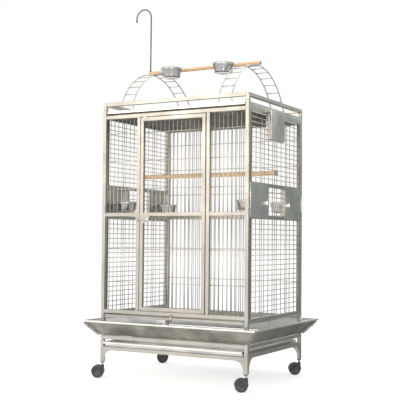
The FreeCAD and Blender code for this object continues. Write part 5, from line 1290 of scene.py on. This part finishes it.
# %% Ladder arches
LADDER_WIRE, KNEE_DROP, ARCH_STEPS = 6 * MM, 6 * MM, 56
to_corner = LADDER_WIRE / 2 / math.cos(math.pi / 6)
knee_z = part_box("play_top_frame")[1].z
arches = []
for points, _ in solids_of("ladder_rails"):
    low, high, centre = extent(points)
    x, foot_y, apex = centre.x, (high.y - low.y) / 2 - to_corner, high.z - to_corner
    rise = apex - knee_z
    radius = (foot_y ** 2 + rise ** 2) / (2 * rise)
    path = [(x, -foot_y, low.z), (x, -foot_y, knee_z - KNEE_DROP)]
    for step in range(ARCH_STEPS + 1):
        angle = math.asin(foot_y / radius) * (2 * step / ARCH_STEPS - 1)
        path.append((x, radius * math.sin(angle), apex - radius + radius * math.cos(angle)))
    arches.append(path + [(x, foot_y, knee_z - KNEE_DROP), (x, foot_y, low.z)])
rods = rod_mesh("ladder_rails.rods", arches, {"Thickness": LADDER_WIRE, "Rod steel": WIRE_STEEL})
assemble("ladder_rails.rods", "ladder_rails", [rods])
print("ladder arches", len(arches), "radius", round(radius, 3))

# %% [markdown]
# ## The toy hook
# A tall crook turns in the perch's left end and carries a hanging toy. It's one rod bent
# through half a circle, with a bead on its tip, so that no bird is hurt, and a collar.

# %% Toy hook
HOOK_ROD, HOOK_BEND, HOOK_TAIL, HOOK_BALL, HOOK_INSET, HOOK_COLLAR, COLLAR_HEIGHT = mm(
    8, 51, 16, 6, 7, 7, 4)
HOOK_STEPS, BALL_STEPS = 40, 14
low, high, _ = box("toy_hook")
hook_x = high.x - HOOK_INSET
bend_z = high.z - HOOK_BEND - HOOK_ROD / 2
tail = Vector((hook_x - 2 * HOOK_BEND, 0, bend_z - HOOK_TAIL))
path = [(hook_x, 0, low.z), (hook_x, 0, bend_z - 60 * MM), (hook_x, 0, bend_z)]
for step in range(1, HOOK_STEPS + 1):
    angle = math.pi * step / HOOK_STEPS
    path.append((hook_x - HOOK_BEND + HOOK_BEND * math.cos(angle), 0, bend_z + HOOK_BEND * math.sin(angle)))
hook = rod_mesh("toy_hook.rod", [path + [tail]],
                {"Thickness": HOOK_ROD, "Sides": 20, "Rod steel": HOOK_STEEL})
ball = [(HOOK_BALL * math.sin(math.pi * i / BALL_STEPS), -HOOK_BALL * math.cos(math.pi * i / BALL_STEPS))
        for i in range(BALL_STEPS + 1)]
bead = turned("hook_bead", ball, tail, Z, 24, HOOK_STEEL)
collar = turned("hook_collar", rounded_rectangle(HOOK_ROD / 2, 0, HOOK_COLLAR, COLLAR_HEIGHT, 1 * MM, 4),
                (hook_x, 0, perch_high.z + 0.3 * MM), Z, 32, HOOK_STEEL)
assemble("toy_hook.steel", "toy_hook", [hook, bead, collar])

# %% [markdown]
# ## Perches
# A turned stick isn't a perfect cylinder: the tool wanders by a few tenths, the ends are
# chamfered, and the face shows end grain.

# %% Perches
PERCH_STEPS = 46


def turned_perch(name, node, radius, finish, seed):
    low, high, centre = box(node)
    length = high.x - low.x
    drift = random.Random(seed)
    ends = ((0, 0), (0.72, 0), (0.9, 0.6 * MM), (0.97, 2 * MM))
    section = [(radius * share, depth) for share, depth in ends]
    waves = [(drift.uniform(1, 9), drift.uniform(0, 6.28)) for _ in range(4)]
    for step in range(PERCH_STEPS + 1):
        share = step / PERCH_STEPS
        wobble = sum(math.sin(speed * 6.28 * share + phase) for speed, phase in waves) / 4
        section.append((radius * (0.985 + 0.013 * wobble), 4 * MM + (length - 8 * MM) * share))
    section += [(radius * share, length - depth) for share, depth in reversed(ends)]
    stick = turned(name, section, (low.x, centre.y, centre.z), X, 28, finish)
    assemble(name, node, [stick])


turned_perch("top_perch.wood", "top_perch", 10 * MM, TOP_WOOD, 4)
turned_perch("inner_perch.wood", "inner_perch", 12.5 * MM, INNER_WOOD, 9)

# %% [markdown]
# ## Wing nuts on the inner perch
# A bolt at each end pulls the perch against the side bars through a broad washer, and a
# wing nut outside lets the owner move the perch without a tool.

# %% Wing nuts
BIG_WASHER, WASHER_THICK, NUT_HUB, NUT_HEIGHT, NUT_BORE, WING_SPAN, WING_THICK = mm(15, 1.5, 5, 6, 2.6, 24, 2)
HUB_SECTION = [(NUT_BORE, 0), (NUT_HUB, 0), (NUT_HUB * 0.86, NUT_HEIGHT - 0.8 * MM),
               (NUT_HUB * 0.74, NUT_HEIGHT), (NUT_BORE, NUT_HEIGHT)]
nut_parts = []
for points, _ in solids_of("inner_perch_bolts"):
    low, high, centre = extent(points)
    side, y, z = math.copysign(1, centre.x), centre.y, centre.z
    inner, outer = (low.x, high.x) if side > 0 else (high.x, low.x)
    nut_base = outer - side * NUT_HEIGHT
    for name, section, x, steps, finish in (
            ("perch_shank", pin(2.7 * MM, abs(outer - inner) - 1 * MM, 0.4 * MM), inner, 16, BRIGHT_STEEL),
            ("perch_washer", tube(3 * MM, BIG_WASHER, WASHER_THICK, 0.4 * MM), nut_base - side * WASHER_THICK,
             40, SHEET_STEEL),
            ("wing_hub", HUB_SECTION, nut_base, 24, SHEET_STEEL)):
        nut_parts.append(turned(name, section, (x, y, z), X * side, steps, finish))
    for hand in (-1, 1):
        root, tip = y + hand * NUT_HUB * 0.8, y + hand * WING_SPAN / 2
        ear = rounded([(nut_base + side * 1 * MM, root), (nut_base + side * 1.8 * MM, tip),
                       (outer, tip), (outer - side * 2.2 * MM, root)], 1.8 * MM, 5)
        nut_parts.append(prism("wing", ear, WING_THICK, Z * (z - WING_THICK / 2), X, Y, 0.6 * MM,
                               SHEET_STEEL, 1))
assemble("inner_perch_bolts.made", "inner_perch_bolts", nut_parts)

# %% [markdown]
# ## Caster wheels
# Twin wheels run on one axle under a moulded hood. The wheel is a turned section with a
# crowned tread and a dished hub.

# %% Casters
WHEEL, WHEEL_WIDTH, WEB_GAP, TRAIL = mm(34, 20, 3.6, 26)
HEADING = math.radians(29)
forward = Vector((math.cos(HEADING), math.sin(HEADING), 0))
axle = Vector((math.sin(HEADING), -math.cos(HEADING), 0))
wheel_section = mm_points((0, 0), (12, 0), (12, 2), (28, 2), (28, 0), (32, 0))
wheel_section += fillet((WHEEL, 0), (0, 0), (WHEEL, WHEEL_WIDTH), 1.5 * MM, 3)
wheel_section += fillet((WHEEL, WHEEL_WIDTH), (WHEEL, 0), (0, WHEEL_WIDTH), 6 * MM, 6)
wheel_section += mm_points((25, 19.7), (24, 18.8), (17, 18.8), (16, 18), (7, 18), (6, 19.2), (0, 19.5))
for node in nodes_like("caster_", "_wheels"):
    centre = box(node)[2]
    wheels = [turned(node, wheel_section, centre + axle * hand * WEB_GAP, axle * hand, 56, TREAD_RUBBER)
              for hand in (-1, 1)]
    assemble(f"{node}.turned", node, wheels)

# %% [markdown]
# ## Hoods and stems
# The hood is one moulding: a crowned half ring over both wheels, a web between them, and a
# boss that takes the stem. The boss is cut by the same two wells that the wheels turn in,
# so nothing rubs.

# %% Hoods and stems
FENDER_OUTSIDE = mm_points((0, 37.2), (12, 37.15), (19, 36.6), (22.6, 35.2), (23.6, 33.6))
FENDER_INSIDE = mm_points((23.6, 32.2), (22.6, 33.3), (19, 34.6), (12, 35.1), (0, 35.2))
FENDER_STEPS = 26
WEB_OUTLINE = rounded(mm_points((-6, 18), (30, 0), (30, 22), (26, 30), (4, 34.6)), 3 * MM, 3)
WEB_RADIUS, WEB_WIDTH, WELL_RADIUS, HALF_HOOD = mm(24, 6, 35.2, 23.6)
BOSS_RADIUS, BOSS_BOTTOM, BOSS_TOP, STEM_RADIUS, STEM_TOP, STEM_SUNK = mm(9, 31, 71.5, 5, 110, 4)
BOSS_HEIGHT = BOSS_TOP - BOSS_BOTTOM


def fender(centre):
    """A crowned half ring over the wheels, with closed ends."""
    outside = [(-v, r) for v, r in reversed(FENDER_OUTSIDE)] + FENDER_OUTSIDE[1:]
    section = outside + FENDER_INSIDE + [(-v, r) for v, r in reversed(FENDER_INSIDE)][1:]
    points, faces, grain, count = [], [], [], len(section)
    for step in range(FENDER_STEPS + 1):
        angle = math.pi * step / FENDER_STEPS
        out = forward * math.cos(angle) + Z * math.sin(angle)
        points += [centre + axle * v + out * r for v, r in section]
        grain += [(angle * r, v, r) for v, r in section]
    for near in range(0, FENDER_STEPS * count, count):
        for index in range(count):
            after = (index + 1) % count
            faces.append((near + index, near + after, near + count + after, near + count + index))
    for start in (0, FENDER_STEPS * count):
        end = start + count - 1
        for index in range(len(outside) - 1):
            faces.append((start + index, start + index + 1, end - 1 - index, end - index))
    return smooth_mesh("fender", points, faces, grain, 45, [HOOD_PLASTIC])


for node in nodes_like("caster_", "_hood"):
    centre = box(node.replace("_hood", "_wheels"))[2]
    foot = centre + forward * TRAIL
    web = turned("web", pin(WEB_RADIUS, WEB_WIDTH, 0.8 * MM), centre - axle * WEB_WIDTH / 2, axle, 40,
                 HOOD_PLASTIC)
    spine = prism("spine", WEB_OUTLINE, WEB_WIDTH, centre + axle * WEB_WIDTH / 2, forward, Z, 0.5 * MM,
                  HOOD_PLASTIC, 2)
    boss_section = [(0, 0), (BOSS_RADIUS, 0), (BOSS_RADIUS, BOSS_HEIGHT - 3 * MM)]
    boss_section += fillet((BOSS_RADIUS - 0.6 * MM, BOSS_HEIGHT), (BOSS_RADIUS, 0), (0, BOSS_HEIGHT),
                           1.6 * MM, 4)
    boss = turned("boss", boss_section + [(0, BOSS_HEIGHT)], (foot.x, foot.y, BOSS_BOTTOM), Z, 32)
    wells = [turned("well", pin(WELL_RADIUS, HALF_HOOD, 0.1 * MM), centre + axle * hand * WEB_WIDTH / 2,
                    axle * hand, 48) for hand in (-1, 1)]
    assemble(f"{node}.moulded", node,
             [fender(centre), web, spine, drilled("boss", boss, wells, HOOD_PLASTIC, 2)])
    stem = turned("stem", pin(STEM_RADIUS, STEM_TOP - BOSS_TOP + STEM_SUNK, 0.6 * MM),
                  (foot.x, foot.y, BOSS_TOP - STEM_SUNK), Z, 24, BRIGHT_STEEL)
    flange = turned("stem_flange", mm_points((0, 0), (7.5, 0), (7.5, 2.2), (6.6, 3), (0, 3)),
                    (foot.x, foot.y, BOSS_TOP + 0.1 * MM), Z, 6, BRIGHT_STEEL)
    assemble(f"{node}.stem", node, [stem, flange])

# %% [markdown]
# ## Lights
# The world is white where the camera, metal and glass see it, and gentler as a light. One
# broad lamp from the front left gives the tubes their bright faces, one above lights the
# skirt and the bowls, and one near the camera keeps the wood and the front from going dull.


# %% World and lamps
def seen_directly(tree):
    """1 where the camera, a reflection or glass looks, and 0 for plain light."""
    path = add(tree, "ShaderNodeLightPath").outputs
    shown = arithmetic(tree, "ADD", path["Is Camera Ray"], path["Is Glossy Ray"])
    shown = arithmetic(tree, "ADD", shown, path["Is Transmission Ray"])
    return add(tree, "ShaderNodeClamp", {"Value": shown}).outputs["Result"]


scene.world = bpy.data.worlds.new("studio")
scene.world.use_nodes = True
tree = scene.world.node_tree
tree.nodes.clear()
light = add(tree, "ShaderNodeBackground", {"Color": (0.95, 0.97, 1.0, 1), "Strength": 0.55})
white = add(tree, "ShaderNodeBackground", {"Color": (1, 1, 1, 1), "Strength": 1.0})
sky = add(tree, "ShaderNodeMixShader", {0: seen_directly(tree), 1: light.outputs[0], 2: white.outputs[0]})
add(tree, "ShaderNodeOutputWorld", {"Surface": sky.outputs[0]})

for name, place, aim, size, power, colour in (
        ("key", (-2.2, -4.8, 2.4), (0.1, 0, 0.9), 2.6, 50, (1.0, 0.86, 0.69)),
        ("top", (0.3, 0.6, 5.0), (0, 0, 0.8), 3.0, 60, (1, 1, 1)),
        ("fill", (2.9, -5.2, 1.7), (0, 0, 1.4), 1.6, 90, (1.0, 0.93, 0.84))):
    light = bpy.data.lights.new(name, "AREA")
    light.shape = "DISK"
    light.size, light.energy, light.color = size, power, colour
    lamp = placed(name, light)
    lamp.location = place
    lamp.rotation_euler = (Vector(aim) - Vector(place)).to_track_quat("-Z", "Y").to_euler()
print("lamps", len(bpy.data.lights))

# %% [markdown]
# ## Floor and grey cards
# A pale floor holds the cage's soft shadow. In a white room steel has nothing dark to
# reflect, so, as a photographer stands a grey card out of view, two glowing cards are put
# here as painted reflections. One stands behind the right side and keeps that side grey, its
# glow dimmer towards its foot as painted shade, and one lies below the cage as painted shade
# for the skirt. Only reflections see them.

# %% Floor and cards
FLAG_PLACE, FLAG_HEIGHT, FLAG_HALF = Vector((1.75, 2.1, 0)), 2.9, 1.3
CARD_LENGTH, CARD_DEPTH, CARD_LEVEL, FLOOR_HALF = 2.6, 2.2, 4 * MM, 30


def flat_sheet(name, corners, material):
    data = bpy.data.meshes.new(name)
    data.from_pydata(corners, [], [(0, 1, 2, 3)])
    data.materials.append(material)
    sheet = placed(name, data)
    return sheet


card_glow, tree, shader = new_material("painted_shade_card", {
    "Base Color": (0, 0, 0, 1), "Roughness": 1.0, "Emission Color": (0.92, 1.0, 0.95, 1)})
height = add(tree, "ShaderNodeSeparateXYZ", {"Vector": object_place(tree)}).outputs["Z"]
# The glow is dimmer towards the floor: a painted shade in the reflections.
feed(shader, {"Emission Strength": spread(tree, height, 1.2, 2.1, 0.30, 0.88)})
across, rise = Vector((0.873, -0.488, 0)) * FLAG_HALF, Z * FLAG_HEIGHT
flag_corners = [FLAG_PLACE - across, FLAG_PLACE + across, FLAG_PLACE + across + rise,
                FLAG_PLACE - across + rise]
card_corners = [(x, y, CARD_LEVEL) for x, y in ((0, 0), (CARD_LENGTH, 0), (CARD_LENGTH, CARD_DEPTH),
                                                (0, CARD_DEPTH))]
for card in (flat_sheet("flag", flag_corners, card_glow), flat_sheet("floor_flag", card_corners, card_glow)):
    card.visible_camera = False
    card.visible_shadow = False
    card.visible_diffuse = False

paper, tree, shader = new_material("studio_paper", {"Roughness": 0.9, "Base Color": (0.86, 0.86, 0.86, 1)})
glow = add(tree, "ShaderNodeEmission", {"Color": (1, 1, 1, 1), "Strength": 0.55})
none = add(tree, "ShaderNodeEmission", {"Color": (0, 0, 0, 1), "Strength": 0.0})
lift = add(tree, "ShaderNodeMixShader", {0: seen_directly(tree), 1: none.outputs[0], 2: glow.outputs[0]})
both = add(tree, "ShaderNodeAddShader", {0: shader.outputs[0], 1: lift.outputs[0]})
feed(tree.nodes["Material Output"], {"Surface": both.outputs[0]})
flat_sheet("floor", [(x * FLOOR_HALF, y * FLOOR_HALF, 0) for x, y in ((-1, -1), (1, -1), (1, 1), (-1, 1))],
           paper)

scene.view_settings.view_transform = "Standard"
